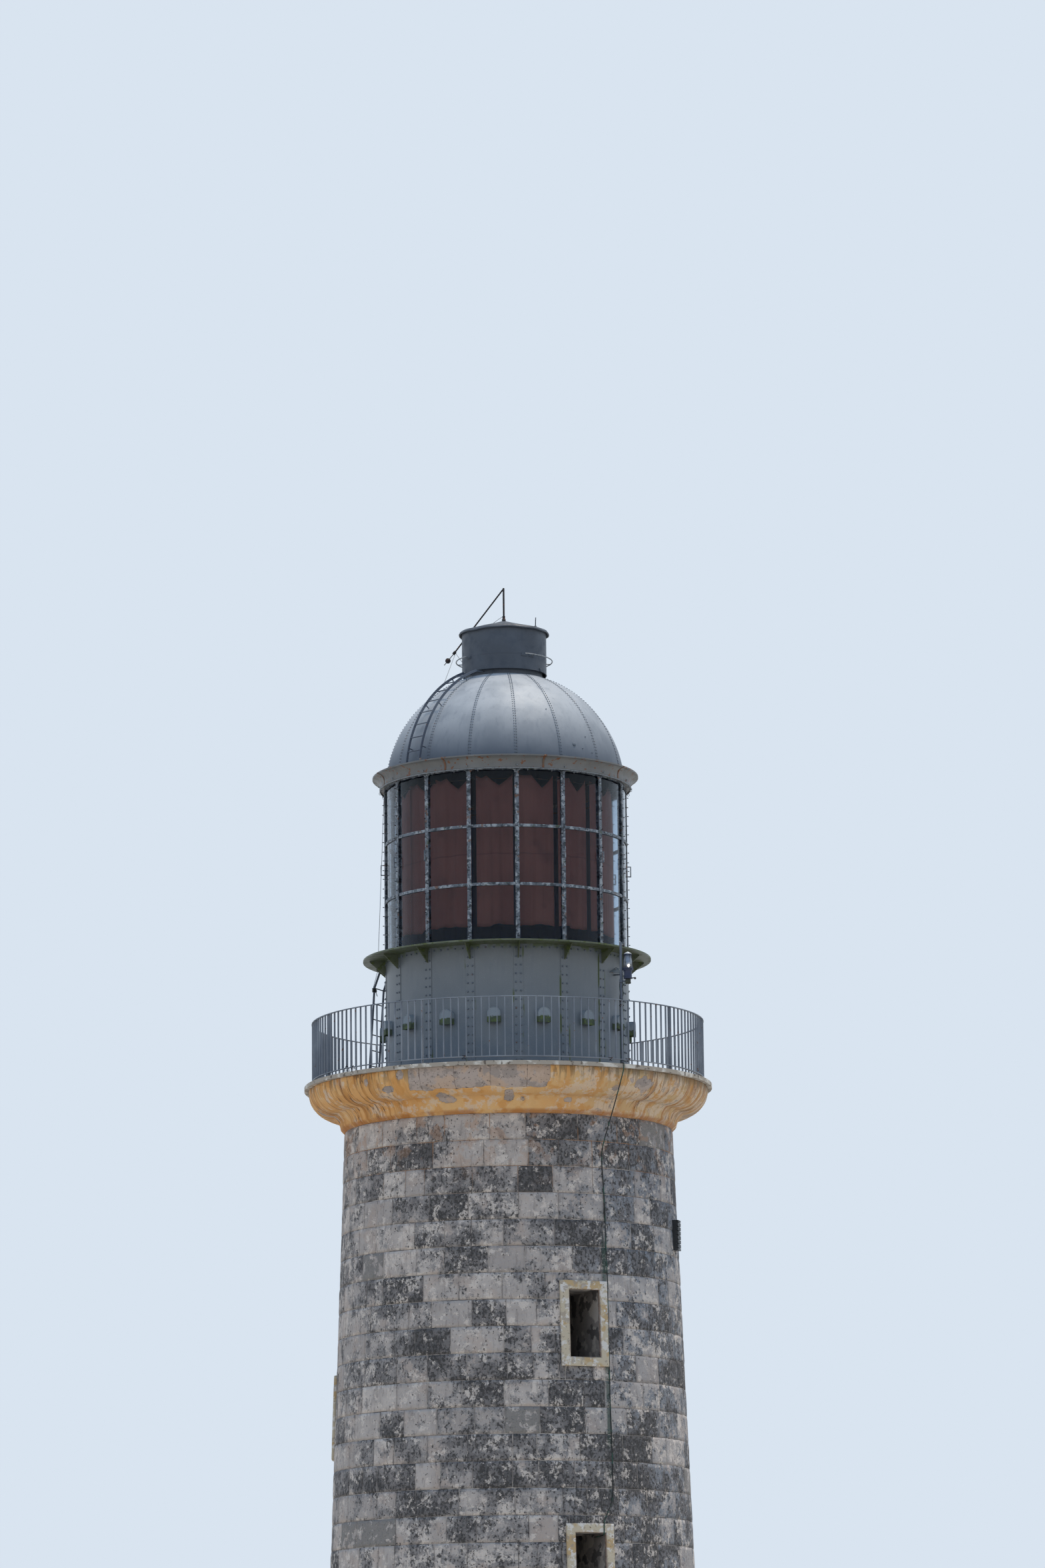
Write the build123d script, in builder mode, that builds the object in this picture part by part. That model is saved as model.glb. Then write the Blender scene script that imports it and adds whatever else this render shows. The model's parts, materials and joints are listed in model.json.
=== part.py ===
"""Round masonry lighthouse with a riveted iron lantern, at its real size.

Millimetres, +Z up. The origin is the middle of the tower's foot, on the ground.
Bearings are in degrees from the front (-Y) towards the right (+X).
Lantern heights are measured up from the gallery deck.
"""

import os
from math import asin, atan2, cos, degrees, radians, sin, sqrt

from build123d import *

# Masonry tower
COURSE = 404
COURSES = 41
TOWER_TOP_RADIUS = 2550
BATTER = 0.036
SHAFT_RADIUS = 1650
FLOOR_THICKNESS = 120
CLEARANCE = 0.3

# Windows climb round the tower with the stair, and the door is below the lowest
WINDOW_COUNT = 9
WINDOW_BEARING = 24.7
WINDOW_TURN = 120
WINDOW_HEIGHT_TOP = 13380
WINDOW_DROP = 1215
WINDOW_WIDTH = 490
WINDOW_TALL = 1010
SURROUND_BORDER = 142
SURROUND_PROUD = 50
DOOR_WIDTH = 900
DOOR_TALL = 2100
DOOR_SETBACK = 350
DOOR_THICKNESS = 60

# Cornice and gallery deck
CORNICE_HEIGHT = 720
CORNICE_REACH = 565
CORNICE_STONES = 12
STONE_JOINT = 3
DECK_THICKNESS = 60
DECK_OVERHANG = 65
OVOLO_TOP_DROP = 80
OVOLO_SIZE = 390
CAVETTO_FOOT_PROUD = 65
CAVETTO_FOOT_RISE = 65
CAVETTO_HOLLOW = 22
HATCH_SIZE = 800
HATCH_OFFSET = 1050
HATCH_BEARING = 90

# Railing
RAIL_INSET = 114
RAIL_WIDTH = 35
RAIL_THICKNESS = 12
RAIL_TOP = 1000
BOTTOM_RAIL_TOP = 90
POST_COUNT = 9
POST_BEARING = 14.8
POST_THICKNESS = 12
POST_DEPTH = 60
BALUSTERS_PER_PANEL = 17
BALUSTER_THICKNESS = 12
BALUSTER_DEPTH = 26

# Lantern base
BAYS = 16
BAY_BEARING = 5.2
BASE_RADIUS = 1900
BASE_PLATE = 10
PLATE_JOINT = 3
LEDGE_TOP = 2000
LEDGE_THICKNESS = 25
LEDGE_REACH = 356
LEDGE_LAP = 90
STRAP_WIDTH = 140
STRAP_THICKNESS = 8
BRACKET_REACH = 250
BRACKET_DROP = 220
BRACKET_THICKNESS = 12
BRACKET_TOE = 15
HOOD_WIDTH = 200
HOOD_TALL = 230
HOOD_PROUD = 100
HOOD_SHEET = 5
HOOD_FOOT = 755
HATCH_DOOR_WIDTH = 540
HATCH_DOOR_SILL = 150
HATCH_DOOR_HEAD = 225
HATCH_DOOR_GAP = 2

# Glazing
GLAZING_PROUD = 17
MULLION_CAP_WIDTH = 65
MULLION_CAP_THICKNESS = 12
MULLION_WEB = 16
MULLION_DEPTH = 75
GLAZING_TALL = 2700
BAR_LIFTS = (22, 910, 1821)
BAR_TALL = 44
BAR_DEPTH = 50
GLASS_SET_BACK = 29
GLASS_THICKNESS = 8
GLASS_CLEARANCE = 1
HANDLE_LIFT = 1420
HANDLE_TALL = 170
HANDLE_REACH = 60
HANDLE_BAR = 14
CURTAIN_SET_BACK = 267
CURTAIN_RAIL_DROP = 100
CURTAIN_RAIL_ROD = 8
CURTAIN_LIFT = 300
CURTAIN_THICKNESS = 10
CURTAIN_GAP = 100

# Gutter and dome
HEAD_DEPTH = 50
HEAD_TALL = 80
GUTTER_LIFT = 18
GUTTER_TALL = 187
GUTTER_REACH = 195
GUTTER_FOOT_REACH = 85
GUTTER_SHEET = 10
GUTTER_FLOOR_RISE = 60
GUTTER_RIM = 22
GUTTER_HOLLOW = 28
HANDHOLD_ROD = 9
DOME_INSET = 15
DOME_SHEET = 8

# Vent on the dome
NECK_RADIUS = 600
NECK_SHEET = 8
NECK_LAP = 32
NECK_RISE = 135
VENT_OUT = 68
VENT_SHEET = 8
VENT_LAP = 175
VENT_TALL = 692
STRUT_COUNT = 4
STRUT_BEARING = 60
STRUT_THICKNESS = 12
STRUT_TALL = 90
CAP_OVERHANG = 54
CAP_RIM_TALL = 40
CAP_RISE = 204
CAP_SHEET = 10
STUB_INSET = 172
STUB_BEARING = 65
STUB_ROD = 9
STUB_TALL = 165
GRAB_REACH = 92
GRAB_LIFT = 230
GRAB_ROD = 9
GRAB_START = 26
GRAB_END = 308
GRAB_PEGS = (40, 105, 180, 255, 304)

# Folded lightning mast and its wires
SOCKET_ROD = 22
SOCKET_TALL = 80
MAST_ROD = 15
MAST_TALL = 525
ARM_ROD = 12
TIP_ROD = 6
BALL_ROD = 44
BALL_ALONG = 0.6
WIRE_ROD = 4
WIRE_FOOT_ANGLE = 55
SIDE_WIRE_BEARING = -103
SIDE_WIRE_TURN = 4.2
LAY_GAP = 1
ARM_COLLAR = (-778, 584, -892)
ARM_TIP = (-957, 718, -1082)
COLLAR_ROD = 24
COLLAR_TALL = 50

# Ladders
DOME_LADDER_BEARING = -47
DOME_LADDER_WIDTH = 307
DOME_LADDER_STANDOFF = 63
STRINGER_DEPTH = 40
STRINGER_THICKNESS = 10
RUNG_ROD = 9
DOME_LADDER_TOP_ANGLE = 68
DOME_RUNG_FIRST_ANGLE = 12
DOME_RUNG_STEP_ANGLE = 7
DOME_RUNGS = 8
STANDOFF_ANGLES = (14, 38, 60)
TOP_LUG_ANGLE = 67
LADDER_BEARING = -115
LADDER_WIDTH = 330
LADDER_ROD = 17
LADDER_FOOT_OUT = 104
LADDER_HEAD_IN = 16
LADDER_BEND_DROP = 300
LADDER_HOOK_IN = 90
LADDER_HOOK_UP = 230
LADDER_END_GAP = 60
LADDER_RUNG_FIRST = 230
LADDER_RUNG_PITCH = 245
LADDER_RUNGS = 7

# Beacon lamp on the railing
BEACON_BEARING = 35.2
POLE_ROD = 20
POLE_TOP = 1890
LAMP_SHIFT = 105
LAMP_BASE_ROD = 68
LAMP_BASE_BOTTOM = 1330
LAMP_BASE_TALL = 135
LAMP_FLANGE_ROD = 80
LAMP_FLANGE_TALL = 25
LENS_FOOT_ROD = 74
LENS_HEAD_ROD = 52
LENS_TALL = 210
LAMP_CAP_ROD = 57
LAMP_CAP_TALL = 45
JUNCTION_SIZE = 80
CONDUIT_ROD = 18
CONDUIT_BEARING = 61
CONDUIT_BOTTOM = 1240
CONDUIT_TALL = 400
CONDUIT_OUT = 110
ARM_BAR = 24
CLAMP_SHEET = 8
CLAMP_TALL = 60
CABLE_ROD = 9
CABLE_START_TURN = 1
CABLE_END_TURN = 4.3
CABLE_LANDING_DROP = 530
CABLE_LIFT = 250
CABLE_TAIL = 250

# Black finned box on the right of the tower
BOX_BEARING = 76
BOX_WIDTH = 200
BOX_TALL = 465
BOX_PROUD = 90
BOX_MIDDLE_DROP = 2410
BOX_FINS = 7
BOX_FIN = 12
BOX_FIN_DEPTH = 30

# Places worked out from the sizes
NECK_HEIGHT = COURSE * COURSES
DECK = NECK_HEIGHT + CORNICE_HEIGHT
BAY_TURN = 360 / BAYS
POST_TURN = 360 / POST_COUNT
BASE_TOP = LEDGE_TOP - LEDGE_THICKNESS
CORNICE_RADIUS = TOWER_TOP_RADIUS + CORNICE_REACH
DECK_RADIUS = CORNICE_RADIUS + DECK_OVERHANG
RAIL_RADIUS = DECK_RADIUS - RAIL_INSET
FAR = 2 * DECK_RADIUS

# Lantern base and glazing, each seated on the piece below it
LEDGE_RADIUS = BASE_RADIUS + LEDGE_REACH
LEDGE_INNER_RADIUS = BASE_RADIUS - LEDGE_LAP
HATCH_DOOR_TALL = BASE_TOP - HATCH_DOOR_HEAD - HATCH_DOOR_SILL
GLAZING_RADIUS = BASE_RADIUS + GLAZING_PROUD
GLAZING_TOP = LEDGE_TOP + GLAZING_TALL
BAR_HEIGHTS = [LEDGE_TOP + lift for lift in BAR_LIFTS]
GLASS_OUTER_RADIUS = GLAZING_RADIUS - GLASS_SET_BACK
HANDLE_MIDDLE = LEDGE_TOP + HANDLE_LIFT
CURTAIN_RADIUS = GLAZING_RADIUS - CURTAIN_SET_BACK
CURTAIN_RAIL_HEIGHT = GLAZING_TOP - CURTAIN_RAIL_DROP
CURTAIN_BOTTOM = LEDGE_TOP + CURTAIN_LIFT

# Head ring, gutter, dome and vent, each from the one below
HEAD_OUTER_RADIUS = BASE_RADIUS
HEAD_INNER_RADIUS = HEAD_OUTER_RADIUS - HEAD_DEPTH
GUTTER_BOTTOM = GLAZING_TOP + GUTTER_LIFT
GUTTER_TOP = GUTTER_BOTTOM + GUTTER_TALL
GUTTER_RADIUS = HEAD_OUTER_RADIUS + GUTTER_REACH
GUTTER_FOOT_RADIUS = HEAD_OUTER_RADIUS + GUTTER_FOOT_REACH
DOME_RADIUS = HEAD_OUTER_RADIUS - DOME_INSET
DOME_CENTRE = GLAZING_TOP
NECK_TOP = DOME_CENTRE + DOME_RADIUS + NECK_RISE
VENT_RADIUS = NECK_RADIUS + VENT_OUT
VENT_BOTTOM = NECK_TOP - VENT_LAP
CAP_RADIUS = VENT_RADIUS + CAP_OVERHANG
CAP_RIM_TOP = VENT_BOTTOM + VENT_TALL
CAP_APEX = CAP_RIM_TOP + CAP_RISE
STUB_RADIUS = CAP_RADIUS - STUB_INSET
GRAB_RADIUS = VENT_RADIUS + GRAB_REACH
GRAB_HEIGHT = VENT_BOTTOM + GRAB_LIFT

# Gallery ladder from the ledge it hooks under, and the lamp built up from its base
LADDER_FOOT_RADIUS = LEDGE_RADIUS + LADDER_FOOT_OUT
LADDER_HEAD_RADIUS = LEDGE_RADIUS - LADDER_HEAD_IN
LADDER_BEND_HEIGHT = LEDGE_TOP - LADDER_BEND_DROP
LAMP_BASE_TOP = LAMP_BASE_BOTTOM + LAMP_BASE_TALL
LAMP_FLANGE_TOP = LAMP_BASE_TOP + LAMP_FLANGE_TALL
LENS_TOP = LAMP_FLANGE_TOP + LENS_TALL
CONDUIT_TOP = CONDUIT_BOTTOM + CONDUIT_TALL


def tower_radius(height):
    """Outer radius of the battered wall at a height above the ground."""
    return TOWER_TOP_RADIUS + BATTER * (NECK_HEIGHT - height)


def spot(bearing, radius, height):
    """A point at a bearing and radius from the tower's axis."""
    return (radius * sin(radians(bearing)), -radius * cos(radians(bearing)), height)


def section_plane(bearing, height=0):
    """Upright plane through the axis: local X runs outwards and local Y up."""
    angle = radians(bearing)
    return Plane(
        origin=(0, 0, height),
        x_dir=(sin(angle), -cos(angle), 0),
        z_dir=(-cos(angle), -sin(angle), 0),
    )


def facing_plane(bearing, radius, height):
    """Upright plane across a bearing: local Z runs outwards and local Y up."""
    angle = radians(bearing)
    return Plane(
        origin=spot(bearing, radius, height),
        x_dir=(cos(angle), sin(angle), 0),
        z_dir=(sin(angle), -cos(angle), 0),
    )


def around(piece, count, bearing):
    """Copies of a piece that was drawn along +X, set round the axis."""
    with BuildPart() as ring:
        with PolarLocations(0, count, start_angle=bearing - 90):
            add(piece)
    return ring


def gather(pieces):
    """Separate solids put together in one node."""
    with BuildPart() as group:
        for piece in pieces:
            add(piece)
    return group


def rod(start, end, radius):
    """Round bar between two points, added to the part being built."""
    run = Vector(*end) - Vector(*start)
    with BuildSketch(Plane(origin=start, z_dir=run)) as section:
        Circle(radius)
    extrude(section.sketch, amount=run.length)


def bent_rod(points, radius):
    """Round bar through several points, with ball corners."""
    for start, end in zip(points[:-1], points[1:]):
        rod(start, end, radius)
    for corner in points[1:-1]:
        with Locations(corner):
            Sphere(radius)


def slotted_ring(inner, outer, bottom, top, gap, count, bearing):
    """Ring cut into segments by slots of one width, centred on the bearings."""
    with BuildPart() as ring:
        with BuildSketch(Plane.XY.offset(bottom)):
            Circle(outer)
            Circle(inner, mode=Mode.SUBTRACT)
            with PolarLocations(0, count, start_angle=bearing - 90):
                Rectangle(FAR, gap, align=(Align.MIN, Align.CENTER), mode=Mode.SUBTRACT)
        extrude(amount=top - bottom)
    return ring


def save(part, label):
    """Name a finished piece and write its file."""
    part.label = label
    export_step(part, f"parts/{label}.step")


os.makedirs("parts", exist_ok=True)

# Windows as bearing and middle height, from the highest down
windows = []
for i in range(WINDOW_COUNT):
    windows.append(((WINDOW_BEARING - WINDOW_TURN * i) % 360, WINDOW_HEIGHT_TOP - WINDOW_DROP * i))

# Tower walls in quarters, cut at course lines between their windows, from the top down
quarters = {
    "front": (315, ("_upper", "_middle", "_lower")),
    "right": (45, ("",)),
    "back": (135, ("_upper", "_lower")),
    "left": (225, ("_upper", "_lower")),
}
for side, (start, levels) in quarters.items():
    heights = [h for b, h in windows if (b - start) % 360 < 90]
    cuts = [NECK_HEIGHT]
    for i in range(len(levels) - 1):
        cuts.append(COURSE * round((heights[i] + heights[i + 1]) / 2 / COURSE))
    cuts.append(0)
    for level, top, bottom in zip(levels, cuts[:-1], cuts[1:]):
        with BuildPart() as wall:
            with BuildSketch(section_plane(start)):
                with BuildLine():
                    Polyline(
                        (SHAFT_RADIUS, bottom),
                        (tower_radius(bottom), bottom),
                        (tower_radius(top), top),
                        (SHAFT_RADIUS, top),
                        close=True,
                    )
                make_face()
            revolve(axis=Axis.Z, revolution_arc=90)
            for bearing, height in windows:
                if (bearing - start) % 360 < 90 and bottom < height < top:
                    with BuildSketch(facing_plane(bearing, 0, height)):
                        Rectangle(WINDOW_WIDTH, WINDOW_TALL)
                    extrude(amount=FAR, mode=Mode.SUBTRACT)
            if side == "front" and bottom == 0:
                with BuildSketch(facing_plane(WINDOW_BEARING, 0, 0)):
                    Rectangle(DOOR_WIDTH, DOOR_TALL, align=(Align.CENTER, Align.MIN))
                extrude(amount=FAR, mode=Mode.SUBTRACT)
        save(wall.part, f"{side}_wall{level}")

with BuildPart() as ground_floor:
    Cylinder(
        SHAFT_RADIUS - CLEARANCE,
        FLOOR_THICKNESS,
        align=(Align.CENTER, Align.CENTER, Align.MIN),
    )
save(ground_floor.part, "ground_floor")


def surround(bearing, bottom, top, opening, border_below):
    """Raised stone frame that follows the wall's curve and batter."""
    border = SURROUND_BORDER
    low = bottom - border_below
    high = top + border
    half_turn = degrees(asin((opening / 2 + border) / SHAFT_RADIUS))
    with BuildPart() as frame:
        with BuildSketch(section_plane(bearing - half_turn)):
            with BuildLine():
                Polyline(
                    (tower_radius(low), low),
                    (tower_radius(low) + SURROUND_PROUD, low),
                    (tower_radius(high) + SURROUND_PROUD, high),
                    (tower_radius(high), high),
                    close=True,
                )
            make_face()
        revolve(axis=Axis.Z, revolution_arc=2 * half_turn)
        with BuildSketch(facing_plane(bearing, 0, low)):
            Rectangle(opening + 2 * border, high - low, align=(Align.CENTER, Align.MIN))
            with Locations((0, border_below)):
                Rectangle(opening, top - bottom, align=(Align.CENTER, Align.MIN), mode=Mode.SUBTRACT)
        extrude(amount=FAR, mode=Mode.INTERSECT)
    return frame.part


frames = []
for bearing, height in windows:
    frames.append(
        surround(
            bearing,
            height - WINDOW_TALL / 2,
            height + WINDOW_TALL / 2,
            WINDOW_WIDTH,
            SURROUND_BORDER,
        )
    )
frames.append(surround(WINDOW_BEARING, 0, DOOR_TALL, DOOR_WIDTH, 0))
stone_surrounds = gather(frames)
save(stone_surrounds.part, "stone_surrounds")

# Entrance door leaf, closed, set back in its doorway
door_radius = tower_radius(DOOR_TALL) - DOOR_SETBACK - DOOR_THICKNESS
with BuildPart() as entrance_door:
    with BuildSketch(facing_plane(WINDOW_BEARING, door_radius, 0)):
        Rectangle(DOOR_WIDTH, DOOR_TALL, align=(Align.CENTER, Align.MIN))
    extrude(amount=DOOR_THICKNESS)
save(entrance_door.part, "entrance_door")

# Cornice of stones under the gallery deck
with BuildPart() as cornice:
    with BuildSketch(section_plane(0)):
        with BuildLine():
            foot = (TOWER_TOP_RADIUS + CAVETTO_FOOT_PROUD, NECK_HEIGHT + CAVETTO_FOOT_RISE)
            ovolo_low = (CORNICE_RADIUS - OVOLO_SIZE, DECK - OVOLO_TOP_DROP - OVOLO_SIZE)
            ovolo_high = (CORNICE_RADIUS, DECK - OVOLO_TOP_DROP)
            hollow = (
                (foot[0] + ovolo_low[0]) / 2 - CAVETTO_HOLLOW,
                (foot[1] + ovolo_low[1]) / 2 + CAVETTO_HOLLOW / 2,
            )
            Polyline(
                ovolo_high,
                (CORNICE_RADIUS, DECK - DECK_THICKNESS),
                (SHAFT_RADIUS, DECK - DECK_THICKNESS),
                (SHAFT_RADIUS, NECK_HEIGHT),
                (TOWER_TOP_RADIUS, NECK_HEIGHT),
                foot,
            )
            ThreePointArc(foot, hollow, ovolo_low)
            CenterArc((ovolo_low[0], ovolo_high[1]), OVOLO_SIZE, -90, 90)
        make_face()
    revolve(axis=Axis.Z)
    with PolarLocations(0, CORNICE_STONES):
        Box(FAR, STONE_JOINT, DECK, align=(Align.MIN, Align.CENTER, Align.MIN), mode=Mode.SUBTRACT)
save(cornice.part, "cornice")

with BuildPart() as gallery_deck:
    with BuildSketch(Plane.XY.offset(DECK - DECK_THICKNESS)):
        Circle(DECK_RADIUS)
        with PolarLocations(HATCH_OFFSET, 1, start_angle=HATCH_BEARING - 90):
            Rectangle(HATCH_SIZE, HATCH_SIZE, mode=Mode.SUBTRACT)
    extrude(amount=DECK_THICKNESS)
save(gallery_deck.part, "gallery_deck")

# Railing: flat posts, and panels of balusters between two rails
with BuildPart() as railing_posts:
    with BuildSketch(Plane.XY.offset(DECK)):
        with PolarLocations(RAIL_RADIUS - POST_DEPTH / 2, POST_COUNT, start_angle=POST_BEARING - 90):
            Rectangle(POST_DEPTH, POST_THICKNESS)
    extrude(amount=RAIL_TOP)
save(railing_posts.part, "railing_posts")

baluster_turn = POST_TURN / (BALUSTERS_PER_PANEL + 1)
with BuildPart() as railing_panels:
    for rail_top in (BOTTOM_RAIL_TOP, RAIL_TOP):
        with BuildSketch(Plane.XY.offset(DECK + rail_top - RAIL_THICKNESS)):
            Circle(RAIL_RADIUS)
            Circle(RAIL_RADIUS - RAIL_WIDTH, mode=Mode.SUBTRACT)
            with PolarLocations(0, POST_COUNT, start_angle=POST_BEARING - 90):
                Rectangle(FAR, POST_THICKNESS, align=(Align.MIN, Align.CENTER), mode=Mode.SUBTRACT)
        extrude(amount=RAIL_THICKNESS)
    with BuildSketch(Plane.XY.offset(DECK + BOTTOM_RAIL_TOP)):
        for i in range(BALUSTERS_PER_PANEL):
            first = POST_BEARING + baluster_turn * (i + 1) - 90
            with PolarLocations(RAIL_RADIUS - RAIL_WIDTH / 2, POST_COUNT, start_angle=first):
                Rectangle(BALUSTER_DEPTH, BALUSTER_THICKNESS)
    extrude(amount=RAIL_TOP - RAIL_THICKNESS - BOTTOM_RAIL_TOP)
save(railing_panels.part, "railing_panels")

# Lantern base: plates, cover straps over their joints, ledge and its brackets
gallery_door_bay = BAYS // 2 - 1
gallery_door_bearing = BAY_BEARING + BAY_TURN * (gallery_door_bay + 0.5)
base_plates = slotted_ring(
    BASE_RADIUS - BASE_PLATE,
    BASE_RADIUS,
    DECK,
    DECK + BASE_TOP,
    PLATE_JOINT,
    BAYS,
    BAY_BEARING,
)
with BuildPart() as pierced_plates:
    add(base_plates.part)
    with BuildSketch(facing_plane(gallery_door_bearing, 0, DECK + HATCH_DOOR_SILL)):
        Rectangle(HATCH_DOOR_WIDTH, HATCH_DOOR_TALL, align=(Align.CENTER, Align.MIN))
    extrude(amount=FAR, mode=Mode.SUBTRACT)
save(pierced_plates.part, "base_plates")

with BuildPart() as gallery_door:
    with BuildSketch(Plane.XY.offset(DECK)):
        Circle(BASE_RADIUS)
        Circle(BASE_RADIUS - BASE_PLATE, mode=Mode.SUBTRACT)
    extrude(amount=BASE_TOP)
    with BuildSketch(facing_plane(gallery_door_bearing, 0, DECK + HATCH_DOOR_SILL)):
        with Locations((0, HATCH_DOOR_GAP / 2)):
            Rectangle(
                HATCH_DOOR_WIDTH - HATCH_DOOR_GAP,
                HATCH_DOOR_TALL - HATCH_DOOR_GAP,
                align=(Align.CENTER, Align.MIN),
            )
    extrude(amount=FAR, mode=Mode.INTERSECT)
save(gallery_door.part, "gallery_door")

strap_outer = BASE_RADIUS + STRAP_THICKNESS
with BuildPart() as cover_straps:
    with BuildSketch(Plane.XY.offset(DECK)):
        with PolarLocations(0, BAYS, start_angle=BAY_BEARING - 90):
            with Locations((BASE_RADIUS, 0)):
                Rectangle(STRAP_WIDTH, STRAP_WIDTH)
        Circle(strap_outer, mode=Mode.INTERSECT)
        Circle(BASE_RADIUS, mode=Mode.SUBTRACT)
    extrude(amount=BASE_TOP)
save(cover_straps.part, "cover_straps")

ledge_ring = slotted_ring(
    LEDGE_INNER_RADIUS,
    LEDGE_RADIUS,
    DECK + BASE_TOP,
    DECK + LEDGE_TOP,
    PLATE_JOINT,
    BAYS,
    BAY_BEARING + BAY_TURN / 2,
)
save(ledge_ring.part, "ledge_ring")

with BuildPart() as bracket:
    with BuildSketch(Plane.XZ):
        with BuildLine():
            Polyline(
                (strap_outer, DECK + BASE_TOP),
                (strap_outer, DECK + BASE_TOP - BRACKET_DROP),
                (strap_outer + BRACKET_TOE, DECK + BASE_TOP - BRACKET_DROP),
                (strap_outer + BRACKET_REACH, DECK + BASE_TOP - BRACKET_TOE),
                (strap_outer + BRACKET_REACH, DECK + BASE_TOP),
                close=True,
            )
        make_face()
    extrude(amount=BRACKET_THICKNESS / 2, both=True)
ledge_brackets = around(bracket.part, BAYS, BAY_BEARING)
save(ledge_brackets.part, "ledge_brackets")

# Vent hoods, open below, one in the middle of each plate but the door's
hood_round = HOOD_WIDTH / 2
hoods = []
for i in range(BAYS):
    if i == gallery_door_bay:
        continue
    bearing = BAY_BEARING + BAY_TURN * (i + 0.5)
    with BuildPart() as hood:
        for inset, mode, low in ((0, Mode.ADD, 0), (HOOD_SHEET, Mode.SUBTRACT, -HOOD_SHEET)):
            with BuildSketch(facing_plane(bearing, BASE_RADIUS / 2, DECK + HOOD_FOOT)):
                with Locations((0, HOOD_TALL - hood_round)):
                    Circle(hood_round - inset)
                with Locations((0, low)):
                    Rectangle(
                        HOOD_WIDTH - 2 * inset,
                        HOOD_TALL - hood_round - low,
                        align=(Align.CENTER, Align.MIN),
                    )
            extrude(amount=BASE_RADIUS / 2 + HOOD_PROUD - inset, mode=mode)
        with Locations((0, 0, DECK)):
            Cylinder(
                BASE_RADIUS,
                BASE_TOP,
                align=(Align.CENTER, Align.CENTER, Align.MIN),
                mode=Mode.SUBTRACT,
            )
    hoods.append(hood.part)
vent_hoods = gather(hoods)
save(vent_hoods.part, "vent_hoods")

# Glazing: mullions, rings of bars between them, and panes
cap_inner = GLAZING_RADIUS - MULLION_CAP_THICKNESS
with BuildPart() as mullions:
    with BuildSketch(Plane.XY.offset(DECK + LEDGE_TOP)):
        with PolarLocations(cap_inner, BAYS, start_angle=BAY_BEARING - 90):
            Rectangle(MULLION_CAP_THICKNESS, MULLION_CAP_WIDTH, align=(Align.MIN, Align.CENTER))
            Rectangle(MULLION_DEPTH, MULLION_WEB, align=(Align.MAX, Align.CENTER))
    extrude(amount=GLAZING_TOP - LEDGE_TOP)
save(mullions.part, "mullions")

bar_rings = []
for middle in BAR_HEIGHTS:
    bars = slotted_ring(
        cap_inner - BAR_DEPTH,
        cap_inner,
        DECK + middle - BAR_TALL / 2,
        DECK + middle + BAR_TALL / 2,
        MULLION_WEB,
        BAYS,
        BAY_BEARING,
    )
    bar_rings.append(bars.part)
glazing_rings = gather(bar_rings)
save(glazing_rings.part, "glazing_rings")

rows = []
for i, middle in enumerate(BAR_HEIGHTS):
    top = BAR_HEIGHTS[i + 1] - BAR_TALL / 2 if i + 1 < len(BAR_HEIGHTS) else GLAZING_TOP
    panes = slotted_ring(
        GLASS_OUTER_RADIUS - GLASS_THICKNESS,
        GLASS_OUTER_RADIUS,
        DECK + middle + BAR_TALL / 2,
        DECK + top,
        MULLION_WEB + 2 * GLASS_CLEARANCE,
        BAYS,
        BAY_BEARING,
    )
    rows.append(panes.part)
lantern_glass = gather(rows)
save(lantern_glass.part, "lantern_glass")

with BuildPart() as handle:
    with BuildSketch(Plane.XZ):
        with Locations((GLAZING_RADIUS, DECK + HANDLE_MIDDLE)):
            Rectangle(HANDLE_REACH, HANDLE_TALL, align=(Align.MIN, Align.CENTER))
            Rectangle(
                HANDLE_REACH - HANDLE_BAR,
                HANDLE_TALL - 2 * HANDLE_BAR,
                align=(Align.MIN, Align.CENTER),
                mode=Mode.SUBTRACT,
            )
    extrude(amount=HANDLE_BAR / 2, both=True)
mullion_handles = around(handle.part, BAYS, BAY_BEARING)
save(mullion_handles.part, "mullion_handles")

# Curtains and the rail they hang from, held by the mullions
web_inner = cap_inner - MULLION_DEPTH
with BuildPart() as curtain_rail:
    with Locations((0, 0, DECK + CURTAIN_RAIL_HEIGHT)):
        Torus(CURTAIN_RADIUS, CURTAIN_RAIL_ROD)
    for i in range(BAYS):
        bearing = BAY_BEARING + BAY_TURN * i
        rod(
            spot(bearing, CURTAIN_RADIUS, DECK + CURTAIN_RAIL_HEIGHT),
            spot(bearing, web_inner, DECK + CURTAIN_RAIL_HEIGHT),
            CURTAIN_RAIL_ROD,
        )
save(curtain_rail.part, "curtain_rail")

curtains = slotted_ring(
    CURTAIN_RADIUS - CURTAIN_THICKNESS / 2,
    CURTAIN_RADIUS + CURTAIN_THICKNESS / 2,
    DECK + CURTAIN_BOTTOM,
    DECK + CURTAIN_RAIL_HEIGHT - CURTAIN_RAIL_ROD,
    CURTAIN_GAP,
    BAYS,
    BAY_BEARING,
)
save(curtains.part, "curtains")

# Head ring, gutter round the eaves and the rod ring under it
head_ring = slotted_ring(
    HEAD_INNER_RADIUS,
    HEAD_OUTER_RADIUS,
    DECK + GLAZING_TOP,
    DECK + GLAZING_TOP + HEAD_TALL,
    PLATE_JOINT,
    BAYS,
    BAY_BEARING + BAY_TURN / 2,
)
save(head_ring.part, "head_ring")

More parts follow.
